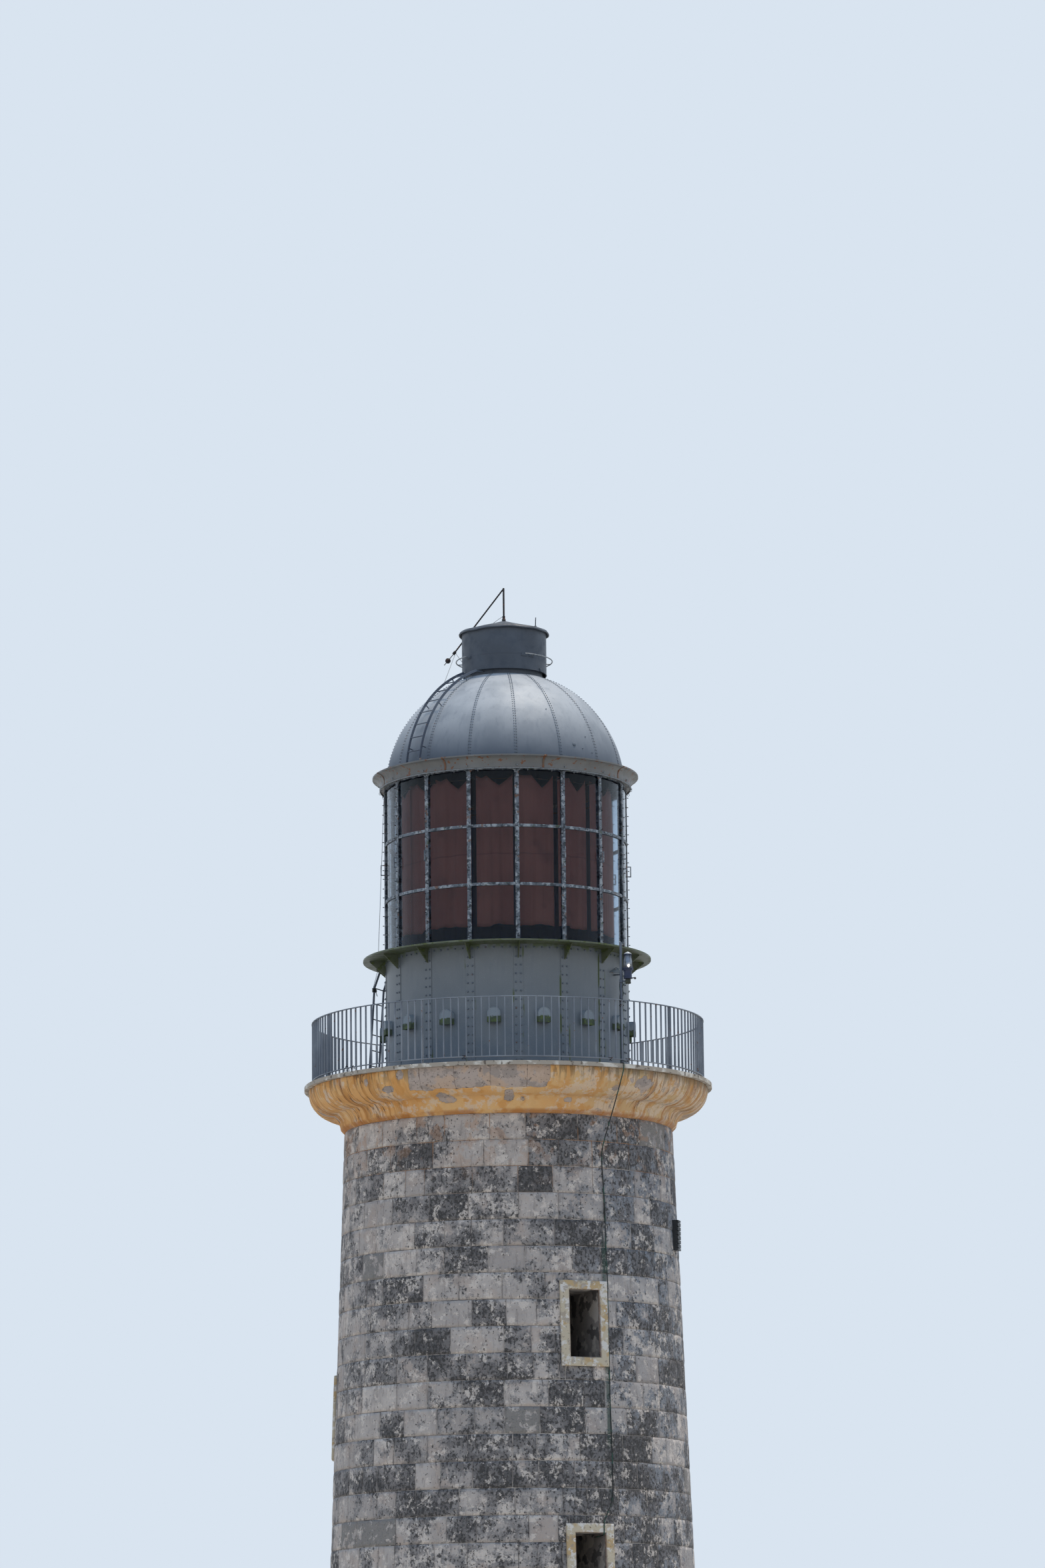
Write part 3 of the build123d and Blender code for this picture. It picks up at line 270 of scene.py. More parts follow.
def shell(outer, inner):
    """A closed sheet between two grids of points of the same size."""
    rows, columns = outer.shape[:2]
    count = rows * columns
    border = grid_border(rows, columns)
    back = grid_quads(rows, columns, count)[:, ::-1]
    points = np.concatenate([outer.reshape(-1, 3), inner.reshape(-1, 3)])
    return points, [grid_quads(rows, columns), back, side_quads(border, count + border)]


def spun(outline, centre, sides=24):
    """A solid turned on an upright axis, from distances and rising heights."""
    outline = np.asarray(outline, dtype=float)
    return tube(np.asarray(centre) + outline[:, 1:] * UP, np.maximum(outline[:, 0], 0.0008), sides)


def ball(centre, radius, sides=16):
    turn = np.radians(np.linspace(-90, 90, 11))
    return spun(np.stack([radius * np.cos(turn), radius * np.sin(turn)], -1), centre, sides)


def block(size, centre, bearing=0.0, edge=0.003):
    """A box with rounded edges, its front turned to a bearing."""
    mesh = bmesh.new()
    bmesh.ops.create_cube(mesh, size=1.0)
    bmesh.ops.scale(mesh, vec=size, verts=mesh.verts[:])
    bmesh.ops.bevel(mesh, geom=mesh.edges[:], offset=edge, segments=2, profile=0.5, affect="EDGES")
    mesh.verts.index_update()
    turn = Matrix.Rotation(radians(bearing), 3, "Z")
    points = np.array([turn @ v.co for v in mesh.verts]) + np.asarray(centre)
    faces = [np.array([v.index for v in face.verts]) for face in mesh.faces]
    mesh.free()
    return points, faces


def prism(front, back):
    """A solid between a flat outline, anticlockwise from its front, and the same one behind it."""
    ring = np.arange(len(front))
    behind = len(front) + ring
    return np.concatenate([front, back]), [ring, behind[::-1], side_quads(ring, behind)]


def plate(outline, origin, right, up, thick):
    """A flat plate, from its outline given anticlockwise on the front and a thickness behind it."""
    outline = np.asarray(outline, dtype=float)
    front = np.asarray(origin) + outline[:, :1] * np.asarray(right) + outline[:, 1:] * np.asarray(up)
    return prism(front, front - thick * np.cross(right, up))


def spline_points(points, steps=8):
    """A smooth line near a few points, read from a curve of its own."""
    curve = bpy.data.curves.new("path", "CURVE")
    curve.dimensions = "3D"
    line = curve.splines.new("NURBS")
    line.points.add(len(points) - 1)
    for at, point in zip(line.points, points):
        at.co = (*point, 1)
    line.order_u = 3
    line.use_endpoint_u = True
    line.resolution_u = steps
    holder = in_scene("path", curve)
    bpy.context.view_layer.update()
    mesh = bpy.data.meshes.new_from_object(holder)
    found = np.empty(len(mesh.vertices) * 3)
    mesh.vertices.foreach_get("co", found)
    bpy.data.objects.remove(holder)
    bpy.data.meshes.remove(mesh)
    return found.reshape(-1, 3)


def add_node(tree, kind, inputs=None, **settings):
    """A node with its settings, and each named input linked or given a value."""
    node = tree.nodes.new(kind)
    for key, value in settings.items():
        setattr(node, key, value)
    for key, value in (inputs or {}).items():
        if isinstance(value, bpy.types.NodeSocket):
            tree.links.new(value, node.inputs[key])
        else:
            node.inputs[key].default_value = value
    return node


def head_tree():
    """Nodes that set one small cone on each point, along the point's facing direction."""
    tree = bpy.data.node_groups.new("heads", "GeometryNodeTree")
    tree.interface.new_socket("Geometry", in_out="OUTPUT", socket_type="NodeSocketGeometry")
    kinds = {"Geometry": "Geometry", "Radius": "Float", "Top": "Float", "Height": "Float"}
    kinds |= {"Sides": "Int", "Material": "Material"}
    names = {}
    for name, kind in kinds.items():
        socket = tree.interface.new_socket(name, in_out="INPUT", socket_type=f"NodeSocket{kind}")
        names[name] = socket.identifier
    given = add_node(tree, "NodeGroupInput").outputs
    cone = {"Vertices": "Sides", "Radius Top": "Top", "Radius Bottom": "Radius", "Depth": "Height"}
    head = add_node(tree, "GeometryNodeMeshCone", {key: given[name] for key, name in cone.items()})
    facing = add_node(tree, "GeometryNodeInputNamedAttribute", {"Name": "facing"}, data_type="FLOAT_VECTOR")
    way = {"Vector": facing.outputs["Attribute"]}
    turn = add_node(tree, "FunctionNodeAlignRotationToVector", way, axis="Z")
    spread = {"Points": given["Geometry"], "Instance": head.outputs[0], "Rotation": turn.outputs[0]}
    placed = add_node(tree, "GeometryNodeInstanceOnPoints", spread)
    real = add_node(tree, "GeometryNodeRealizeInstances", {"Geometry": placed.outputs[0]})
    finish = {"Geometry": real.outputs[0], "Material": given["Material"]}
    painted = add_node(tree, "GeometryNodeSetMaterial", finish)
    add_node(tree, "NodeGroupOutput", {"Geometry": painted.outputs[0]})
    return tree, names


HEAD_TREE, HEAD_INPUTS = head_tree()


def heads(name, points, facing, slot, radius, height, top=0.55, sides=8, material=None):
    """Rivet or bolt heads of one size on many points, each facing its own way."""
    mesh = bpy.data.meshes.new(name)
    mesh.from_pydata([tuple(p) for p in points], [], [])
    layer = mesh.attributes.new("facing", "FLOAT_VECTOR", "POINT")
    layer.data.foreach_set("vector", np.asarray(facing, dtype=np.float32).ravel())
    seeds = in_scene(name + "_points", mesh)
    modifier = seeds.modifiers.new("heads", "NODES")
    modifier.node_group = HEAD_TREE
    inputs = {"Radius": radius, "Top": radius * top, "Height": height, "Sides": sides}
    inputs["Material"] = material or materials[slot]
    for key, value in inputs.items():
        modifier[HEAD_INPUTS[key]] = value
    made = bpy.data.meshes.new_from_object(seeds.evaluated_get(bpy.context.evaluated_depsgraph_get()))
    bpy.data.objects.remove(seeds)
    made.name = name
    return finished(name, made, slot, material)


# Materials
def linear(code):
    """A colour written as red, green and blue in hex, as the light values a shader takes."""
    values = [int(code[i : i + 2], 16) / 255 for i in (0, 2, 4)]
    return tuple(v / 12.92 if v < 0.04045 else ((v + 0.055) / 1.055) ** 2.4 for v in values) + (1.0,)


class Finish:
    """A procedural material, built in layers on the piece's own coordinates in metres."""

    def __init__(self, name, colour, roughness, sockets=None):
        self.material = bpy.data.materials.new(name)
        self.material.use_nodes = True
        self.tree = self.material.node_tree
        self.shader = self.tree.nodes["Principled BSDF"]
        self.place = self.add("TexCoord").outputs["Object"]
        self.colour = linear(colour)
        self.roughness = roughness
        self.normal = None
        for key, value in (sockets or {}).items():
            self.shader.inputs[key].default_value = value

    def add(self, kind, inputs=None, **settings):
        return add_node(self.tree, f"ShaderNode{kind}", inputs, **settings)

    def times(self, *values):
        """The product of several values."""
        total = values[0]
        for value in values[1:]:
            total = self.add("Math", {0: total, 1: value}, operation="MULTIPLY").outputs[0]
        return total

    def raised(self, total, *shares):
        """A value with others added to it, each given with its share."""
        for value, share in shares:
            inputs = {0: value, 1: share, 2: total}
            total = self.add("Math", inputs, operation="MULTIPLY_ADD").outputs[0]
        return total

    def where(self, value, low, high, *limits):
        """0 to 1 as a value passes smoothly from low to high, less where the limits are under 1."""
        inputs = {"Value": value, "From Min": low, "From Max": high}
        part = self.add("MapRange", inputs, interpolation_type="SMOOTHSTEP").outputs[0]
        return self.times(part, *limits)

    def clouds(self, size, detail=4.0, seed=0.0, ragged=0.5, stretch=(1, 1, 1)):
        """Cloudy values about 0.5, with lumps of one size in metres and finer ones on them."""
        place = self.add("VectorMath", {0: self.place, 1: stretch}, operation="MULTIPLY").outputs[0]
        place = self.add("VectorMath", {0: place, 1: (seed, 0, seed)}).outputs[0]
        inputs = {"Vector": place, "Scale": 1 / size, "Detail": detail, "Roughness": ragged}
        return self.add("TexNoise", inputs).outputs[0]

    def patches(self, size, low, high, *limits, **pattern):
        """1 in the clouds above high, 0 below low, within the limits."""
        return self.where(self.clouds(size, **pattern), low, high, *limits)

    def runs(self, width, tall, seed, ragged=0.5):
        """Cloudy values drawn out down the cornice, with a width round it and a height in metres."""
        across = self.times(self.bearing(), radians(CORNICE_RADIUS) / width)
        down = self.times(self.along("Z"), 1 / tall)
        place = self.add("CombineXYZ", {0: across, 1: down, 2: seed}).outputs[0]
        inputs = {"Vector": place, "Scale": 1.0, "Detail": 4.0, "Roughness": ragged}
        return self.add("TexNoise", inputs).outputs[0]

    def along(self, axis, *span):
        """A coordinate of the place, or how far it is through a span of it."""
        value = self.add("SeparateXYZ", {0: self.place}).outputs[axis]
        return self.where(value, *span) if span else value

    def bearing(self):
        """Degrees round from the front, towards the right."""
        back = self.times(self.along("Y"), -1.0)
        turn = self.add("Math", {0: self.along("X"), 1: back}, operation="ARCTAN2").outputs[0]
        return self.times(turn, degrees(1))

    def off_lines(self, first, pitch):
        """Degrees round from the nearest of upright lines, counted up from the first of them."""
        past = self.add("Math", {0: self.bearing(), 1: first}, operation="SUBTRACT").outputs[0]
        return self.add("Math", {0: past, 1: pitch / 2}, operation="PINGPONG").outputs[0]

    def paint(self, colour, *masks):
        """Another colour, as far as all the masks let it."""
        inputs = {"Factor": self.times(*masks), "A": self.colour, "B": linear(colour)}
        self.colour = self.add("Mix", inputs, data_type="RGBA").outputs["Result"]

    def shine(self, roughness, mask):
        """Another roughness where the mask is 1."""
        inputs = {"Factor": mask, "A": self.roughness, "B": roughness}
        self.roughness = self.add("Mix", inputs).outputs["Result"]

    def relief(self, height, depth):
        """Bumps of a depth in metres, or hollows where the depth is negative."""
        sunk = self.times(height, -1.0) if depth < 0 else height
        inputs = {"Height": sunk, "Distance": abs(depth), "Strength": 1.0}
        if self.normal:
            inputs["Normal"] = self.normal
        self.normal = self.add("Bump", inputs).outputs[0]

    def bumps(self, size, depth, **pattern):
        self.relief(self.clouds(size, **pattern), depth)

    def done(self):
        results = {"Base Color": self.colour, "Roughness": self.roughness, "Normal": self.normal}
        for key, value in results.items():
            if isinstance(value, bpy.types.NodeSocket):
                self.tree.links.new(value, self.shader.inputs[key])
            elif value is not None:
                self.shader.inputs[key].default_value = value
        return self.material


def coral_stone():
    """Coral limestone: pinkish cream faces, pitted with black pores where a grey crust grows on them."""
    stone = Finish("Coral stone", "a99f98", 0.92)
    tone, crust, cement = (
        stone.add("Attribute", attribute_name=name).outputs["Fac"] for name in ("tone", "lichen", "cement")
    )
    stone.paint("c6bab0", tone, 0.8)
    stone.paint("9e938c", stone.patches(0.3, 0.42, 0.66, 0.55, detail=6))
    stone.paint("b59d8c", stone.patches(0.45, 0.52, 0.6, 0.28, detail=8, seed=33))
    spread = stone.clouds(0.36, detail=14, seed=5, ragged=0.72)
    over = stone.raised(spread, (crust, 0.34), (cement, -0.2))
    film = stone.where(over, 0.575, 0.62, 0.8)
    stone.paint("85807d", film)
    bearing = stone.bearing()
    # Blue-grey over the right side (bearings 0 to 55), strongest on the crust: the crust's own grey with
    # painted shade, the cool sky light of that side, over it.
    stone.paint("7c8188", stone.raised(0.25, (film, 0.6)), stone.where(bearing, 0.0, 55.0))
    stone.paint("696462", stone.where(over, 0.65, 0.69, 0.75))
    stone.paint("4f4c4b", stone.where(over, 0.74, 0.78, 0.75))
    lime = stone.raised(stone.clouds(0.2, detail=14, seed=9, ragged=0.76), (tone, 0.05))
    stone.paint("d3c6ba", stone.where(lime, 0.57, 0.585, 0.8))
    streaks = stone.clouds(0.05, detail=8, seed=29, ragged=0.6, stretch=(1, 1, 0.25))
    stone.paint("7e7570", stone.where(streaks, 0.55, 0.62, 0.4))
    pores = stone.clouds(0.036, detail=8, seed=11, ragged=0.62, stretch=(1, 1, 0.7))
    pores = stone.raised(pores, (stone.where(over, 0.48, 0.76), 0.115), (cement, -0.05))
    pores = stone.where(pores, 0.635, 0.66)
    stone.paint("403d3b", pores, 0.85)
    patch = stone.patches(0.16, 0.44, 0.47, cement, detail=10, seed=15, ragged=0.66)
    stone.paint("736e69", patch, 0.8)
    stone.paint("8f8a84", patch, streaks, 0.6)
    stone.paint("55514e", stone.patches(0.03, 0.55, 0.6, patch, 0.6, detail=10, seed=45, ragged=0.7))
    top = stone.along("Z", NECK - 1.3, NECK - 0.1)
    stone.paint("ad8668", stone.patches(0.3, 0.55, 0.6, top, 0.45, detail=10, seed=21, ragged=0.6))
    by_cable = stone.where(bearing, 31.5, 32.4, stone.where(bearing, 33.6, 33.2))
    by_cable = stone.times(by_cable, stone.along("Z", 10.6, 11.2), stone.along("Z", 15.3, 14.6))
    stone.paint("34493f", stone.patches(0.5, 0.4, 0.5, by_cable, 0.75, detail=8, seed=51))
    stone.bumps(0.06, 0.014, detail=7, seed=2)
    stone.relief(pores, -0.009)
    pits = stone.add("TexVoronoi", {"Vector": stone.place, "Scale": 1 / 0.028})
    stone.relief(pits.outputs["Distance"], 0.004)
    return stone.done()


def lime_mortar():
    """Worn lime mortar between the blocks, dark in the joints with pale runs."""
    mortar = Finish("Lime mortar", "857d77", 0.95)
    mortar.paint("aca298", mortar.patches(0.3, 0.5, 0.56, detail=6))
    mortar.paint("57524f", mortar.patches(0.2, 0.54, 0.58, detail=8, seed=4))
    top = mortar.along("Z", NECK - 1.5, NECK - 0.4)
    mortar.paint("a9794f", mortar.patches(0.5, 0.46, 0.54, top, 0.7, detail=6, seed=8))
    mortar.bumps(0.02, 0.006, detail=5, seed=2)
    return mortar.done()


def ochre_plaster():
    """Ochre limewash with rust running down it, flaked to pinkish stone in places."""
    plaster = Finish("Ochre plaster", "d9a263", 0.88)
    bearing = plaster.bearing()
    off_front = plaster.add("Math", {0: bearing}, operation="ABSOLUTE").outputs[0]
    right, sides = plaster.where(bearing, 5.0, 45.0), plaster.where(off_front, 26.0, 46.0)
    plaster.paint("dcb37c", plaster.patches(0.6, 0.4, 0.62, 0.8, detail=6))
    plaster.paint("c2a780", right, 0.7)
    plaster.paint("cb8c44", plaster.patches(0.22, 0.5, 0.58, 0.55, detail=8, seed=14))
    pale = plaster.raised(plaster.clouds(0.24, detail=14, seed=23, ragged=0.72), (right, 0.06))
    plaster.paint("d6bfa6", plaster.where(pale, 0.525, 0.56, 0.75))
    plaster.paint("9b9088", plaster.where(pale, 0.63, 0.65, 0.7))
    wide = plaster.where(plaster.runs(0.16, 1.2, 3.0), 0.5, 0.6)
    plaster.paint("b27634", wide, plaster.raised(0.1, (sides, 0.7)), 0.75)
    brown = plaster.where(plaster.runs(0.09, 0.9, 9.0, 0.55), 0.56, 0.6, plaster.raised(0.06, (sides, 0.7)))
    drop = plaster.along("Z", DECK - 0.75, DECK - 0.2)
    plaster.paint("8a5527", brown, plaster.raised(0.3, (drop, 0.4)))
    thin = plaster.runs(0.13, 0.8, 17.0, 0.45)
    thin = plaster.where(thin, 0.484, 0.494, plaster.where(thin, 0.516, 0.506))
    broken = plaster.where(plaster.runs(0.5, 0.9, 27.0), 0.46, 0.54)
    plaster.paint("65442b", thin, broken, sides, 0.75)
    drips = plaster.where(plaster.runs(0.07, 0.5, 37.0, 0.6), 0.5, 0.58)
    plaster.paint("6d5b41", drips, plaster.along("Z", DECK - 0.36, DECK - 0.1), 0.6)
    plaster.paint("645a46", plaster.along("Z", DECK - 0.2, DECK - 0.08), right, 0.5)
    foot = plaster.along("Z", NECK + 0.085, NECK + 0.03)
    plaster.paint("a8672e", plaster.patches(0.3, 0.35, 0.55, foot, 0.75, detail=5, seed=33))
    worn = plaster.add("Attribute", attribute_name="peel").outputs["Fac"]
    peel = plaster.where(worn, 0.42, 0.58)
    plaster.paint("b3a297", peel)
    plaster.paint("93877f", plaster.patches(0.25, 0.5, 0.53, peel, 0.7, detail=14, seed=31, ragged=0.72))
    plaster.paint("c4a58b", plaster.patches(0.35, 0.52, 0.56, peel, 0.6, detail=8, seed=39))
    joints = plaster.raised(plaster.off_lines(-213.0, 10.4), (plaster.clouds(0.1, detail=6, seed=43), 0.5))
    plaster.paint("6a5a50", plaster.where(joints, 0.4, 0.32, peel, 0.7))
    spots = plaster.patches(0.045, 0.6, 0.63, peel, detail=10, seed=35, ragged=0.66)
    plaster.paint("5f5650", spots, 0.7)
    # Dark brown ring round each flaked place, where the peel value lies between 0.25 and 0.65: painted
    # shadow along the broken edge of the plaster.
    plaster.paint("6a5545", plaster.where(worn, 0.25, 0.4), plaster.where(worn, 0.65, 0.5), 0.45)
    plaster.bumps(0.05, 0.009, detail=7, seed=2)
    plaster.relief(spots, -0.005)
    return plaster.done()


def surround_render():
    """Cream render on the window frames, patched white, ochre and grey with wear, with painted shade
    darkening the reveals.
    """
    render = Finish("Cream render", "c3b49b", 0.85)
    render.paint("bb9f76", render.patches(0.3, 0.5, 0.56, detail=8))
    render.paint("d6cec4", render.patches(0.14, 0.52, 0.55, detail=10, seed=4, ragged=0.62))
    render.paint("9f9183", render.patches(0.09, 0.58, 0.62, 0.7, detail=8, seed=14))
    render.paint("75634f", render.patches(0.035, 0.65, 0.7, detail=6, seed=8))
    inner = render.add("Attribute", attribute_name="inner").outputs["Fac"]
    # Dark brown on the reveals, where 'inner' is 1: painted shade in the recess.
    render.paint("6f5a50", inner, 0.85)
    render.paint("a98d7c", render.patches(0.05, 0.5, 0.6, inner, 0.6, detail=6, seed=18))
    render.bumps(0.03, 0.01, detail=6, seed=2)
    return render.done()


def deck_stone():
    """Weathered stone edge of the gallery deck, with a pale crust."""
    stone = Finish("Deck stone", "a89c8d", 0.9)
    stone.paint("d2cabd", stone.patches(0.2, 0.5, 0.6, detail=6))
    stone.paint("6f6459", stone.patches(0.08, 0.58, 0.66, detail=5, seed=5))
    stone.bumps(0.03, 0.006, detail=6, seed=2)
    return stone.done()


def weathered_boards():
    """Grey weathered boards, the grain drawn 20 mm wide so that it shows."""
    wood = Finish("Weathered boards", "4c4a46", 0.8)
    grain = wood.clouds(0.02, detail=6, stretch=(1, 1, 0.05))
    wood.paint("6b655d", wood.where(grain, 0.45, 0.65))
    wood.paint("35393a", wood.patches(0.3, 0.5, 0.7, seed=3))
    wood.relief(grain, 0.003)
    return wood.done()


def sea_paint(name, colour, pale, algae=0.0, rust=0.0, roughness=0.42):
    """Old oil paint on iron: brush marks, chalky patches, with algae or rust where it is old."""
    coat = Finish(name, colour, roughness)
    coat.paint(pale, coat.patches(0.6, 0.4, 0.7, 0.6, detail=5))
    coat.paint(pale, coat.patches(0.03, 0.6, 0.75, 0.35, seed=3))
    if algae:
        growth, edge = coat.clouds(0.08, detail=6, seed=7), 0.72 - algae / 3
        coat.paint("3f4a20", coat.where(growth, edge, edge + 0.06))
        coat.paint("586230", coat.where(growth, edge + 0.06, edge + 0.12))
    if rust:
        edge = 0.7 - rust / 3
        coat.paint("6f472d", coat.patches(0.07, edge, edge + 0.03, detail=6, seed=17))
    coat.shine(min(roughness + 0.2, 0.9), coat.patches(0.12, 0.45, 0.7, seed=12))
    coat.bumps(0.012, 0.0008, detail=3, seed=2)
    coat.bumps(0.25, 0.004, detail=2, seed=19)
    return coat.done()


def base_plate_paint():
    """Blue-grey paint on the lantern base's plates, dark and streaked with algae at the straps."""
    coat = Finish("Plate paint", "686d71", 0.42)
    low = coat.along("Z", DECK + 1.6, DECK + 0.3)
    coat.paint("505f6d", low, 0.8)
    coat.paint("707579", coat.patches(0.5, 0.4, 0.7, 0.5, detail=5))
    coat.paint("5c646c", coat.patches(0.09, 0.5, 0.7, 0.3, detail=5, seed=41, stretch=(1, 1, 0.2)))
    coat.paint("8d949a", coat.patches(0.012, 0.58, 0.7, 0.2, detail=3, seed=3))
    off_seam = coat.times(coat.off_lines(SEAM_BEARING - 360, BAY_TURN), radians(BASE_RADIUS))
    growth = coat.clouds(0.16, detail=7, seed=7, stretch=(1, 1, 0.35))
    growth = coat.raised(growth, (coat.along("X", -0.3, 1.5), 0.12))
    edge = coat.where(off_seam, 0.098, 0.08, coat.where(off_seam, 0.055, 0.066))
    coat.paint("46522a", coat.where(growth, 0.58, 0.66, edge, 0.9))
    on_strap = coat.where(off_seam, 0.07, 0.05, low)
    coat.paint("59606a", coat.patches(0.06, 0.5, 0.65, on_strap, 0.4, detail=6, seed=47))
    under_ledge = coat.along("Z", DECK + 1.87, DECK + 1.97)
    coat.paint("4d5a2a", coat.patches(0.12, 0.42, 0.62, under_ledge, 0.8, detail=6, seed=27))
    coat.bumps(0.012, 0.0007, detail=3, seed=2)
    coat.bumps(0.5, 0.006, detail=2, seed=19)
    return coat.done()


def dome_paint():
    """Silver-grey paint on the dome, chalked, with faint runs down the plates, painted shade darkening it to
    blue-grey towards its foot, and dark blue inside.
    """
    coat = Finish("Dome paint", "b2b5b8", 0.58, {"Metallic": 0.1})
    coat.paint("858b92", coat.patches(0.5, 0.4, 0.7, 0.5, detail=5))
    coat.paint("737b85", coat.patches(0.09, 0.5, 0.75, 0.3, detail=5, seed=5, stretch=(1, 1, 0.15)))
    # Darker blue-grey from the crown down to the dome's foot: painted shade on the steep lower plates, which
    # face away from the high light.
    coat.paint("475260", coat.along("Z", DOME_CENTRE + 1.3, DOME_CENTRE + 0.1), 0.9)
    coat.paint("5d636a", coat.patches(0.02, 0.68, 0.72, 0.6, detail=3, seed=9))
    coat.paint("16243c", coat.add("Attribute", attribute_name="inside").outputs["Fac"])
    coat.shine(0.66, coat.patches(0.3, 0.4, 0.7, seed=12))
    coat.bumps(0.01, 0.0005, detail=3, seed=2)
    coat.bumps(0.22, 0.004, detail=3, seed=22)
    return coat.done()


def pane_glass():
    """Bluish window glass, hazed by salt. Its low IOR keeps the cloth behind it clear."""
    glass = Finish("Pane glass", "cfdbe6", 0.04, {"Transmission Weight": 1.0, "IOR": 1.22})
    glass.shine(0.1, glass.patches(0.25, 0.45, 0.75, detail=5, stretch=(1, 1, 0.4)))
    return glass.done()


def curtain_cloth():
    """Faded brown-red cloth, dark along a seam, with a blue lining. The weave is drawn 4 mm wide to show."""
    cloth = Finish("Curtain cloth", "844a40", 0.95)
    cloth.paint("94584b", cloth.patches(0.6, 0.4, 0.7, detail=3, stretch=(1, 1, 0.2)))
    cloth.paint("643a34", cloth.patches(0.3, 0.55, 0.75, 0.5, seed=5))
    joint = DECK + 3.42
    below = cloth.along("Z", joint - 0.012, joint - 0.004)
    above = cloth.along("Z", joint + 0.012, joint + 0.004)
    cloth.paint("452a26", below, above, 0.4)
    cloth.paint("3a5684", cloth.add("Attribute", attribute_name="lining").outputs["Fac"])
    cloth.bumps(0.004, 0.00015, detail=2, seed=2, stretch=(1, 1, 0.5))
    return cloth.done()


def dull_zinc():
    """Dull zinc on steel."""
    zinc = Finish("Dull zinc", "8e9296", 0.5, {"Metallic": 0.7})
    zinc.paint("6c6f72", zinc.patches(0.03, 0.5, 0.65))
    zinc.bumps(0.01, 0.0004, detail=3, seed=2)
    return zinc.done()


def mast_iron():
    """Dark iron with rust bloom."""
    iron = Finish("Mast iron", "2c2a2b", 0.6, {"Metallic": 0.4})
    iron.paint("5a3626", iron.patches(0.05, 0.55, 0.68, detail=5))
    iron.bumps(0.008, 0.0005, seed=2)
    return iron.done()


def lamp_lens():
    """Clear ribbed plastic of the beacon's cover. Its low IOR keeps the lenses in it clear."""
    lens = Finish("Lamp lens", "eef2f6", 0.32, {"Transmission Weight": 1.0, "IOR": 1.25})
    lens.paint("d5dce4", lens.patches(0.03, 0.5, 0.7, detail=3))
    lens.bumps(0.01, 0.0006, detail=2, seed=2)
    return lens.done()


def lamp_optic():
    """Stacked clear drum lenses, given a bluish-white colour as a painted reflection of the sky."""
    optic = Finish("Lamp optic", "c3d2e8", 0.35, {"Transmission Weight": 0.35})
    optic.paint("8d9cb6", optic.patches(0.02, 0.5, 0.65, detail=3))
    return optic.done()


def cable_rubber():
    """Black rubber sheath gone green with algae."""
    rubber = Finish("Cable rubber", "1b1d1c", 0.6)
    rubber.paint("1f4a3c", rubber.patches(0.12, 0.5, 0.6, detail=5))
    rubber.bumps(0.01, 0.0005, detail=3, seed=2)
    return rubber.done()


def bar_paint():
    """Grey paint flaking off the glazing bars, dark iron showing through in specks."""
    coat = Finish("Glazing bar paint", "5a6169", 0.55)
    coat.paint("737981", coat.patches(0.25, 0.4, 0.65, 0.6, detail=5))
    coat.paint("9ea3a7", coat.patches(0.08, 0.52, 0.55, 0.85, detail=8, seed=4, ragged=0.7))
    coat.paint("22272c", coat.patches(0.07, 0.53, 0.56, 0.9, detail=8, seed=14, ragged=0.7))
    coat.paint("6b452c", coat.patches(0.09, 0.63, 0.66, 0.8, detail=6, seed=24))
    coat.paint("414d2a", coat.patches(0.12, 0.64, 0.68, 0.7, detail=6, seed=34))
    coat.bumps(0.02, 0.0015, detail=6, seed=2)
    return coat.done()


def hood_paint():
    """Blue-grey paint on the vent hoods, their lower half overgrown with dark algae."""
    coat = Finish("Hood paint", "7b848b", 0.5)
    coat.paint("8a9298", coat.patches(0.2, 0.4, 0.7, 0.5, detail=5))
    ragged_height = coat.raised(coat.along("Z"), (coat.clouds(0.07, detail=8, seed=5, ragged=0.65), -0.12))
    growth = coat.where(ragged_height, DECK + 0.795, DECK + 0.775)
    coat.paint("37432a", growth, 0.9)
    coat.paint("4f5d33", coat.patches(0.05, 0.5, 0.6, growth, detail=6, seed=9))
    coat.shine(0.8, growth)
    coat.bumps(0.012, 0.001, seed=2)
    return coat.done()


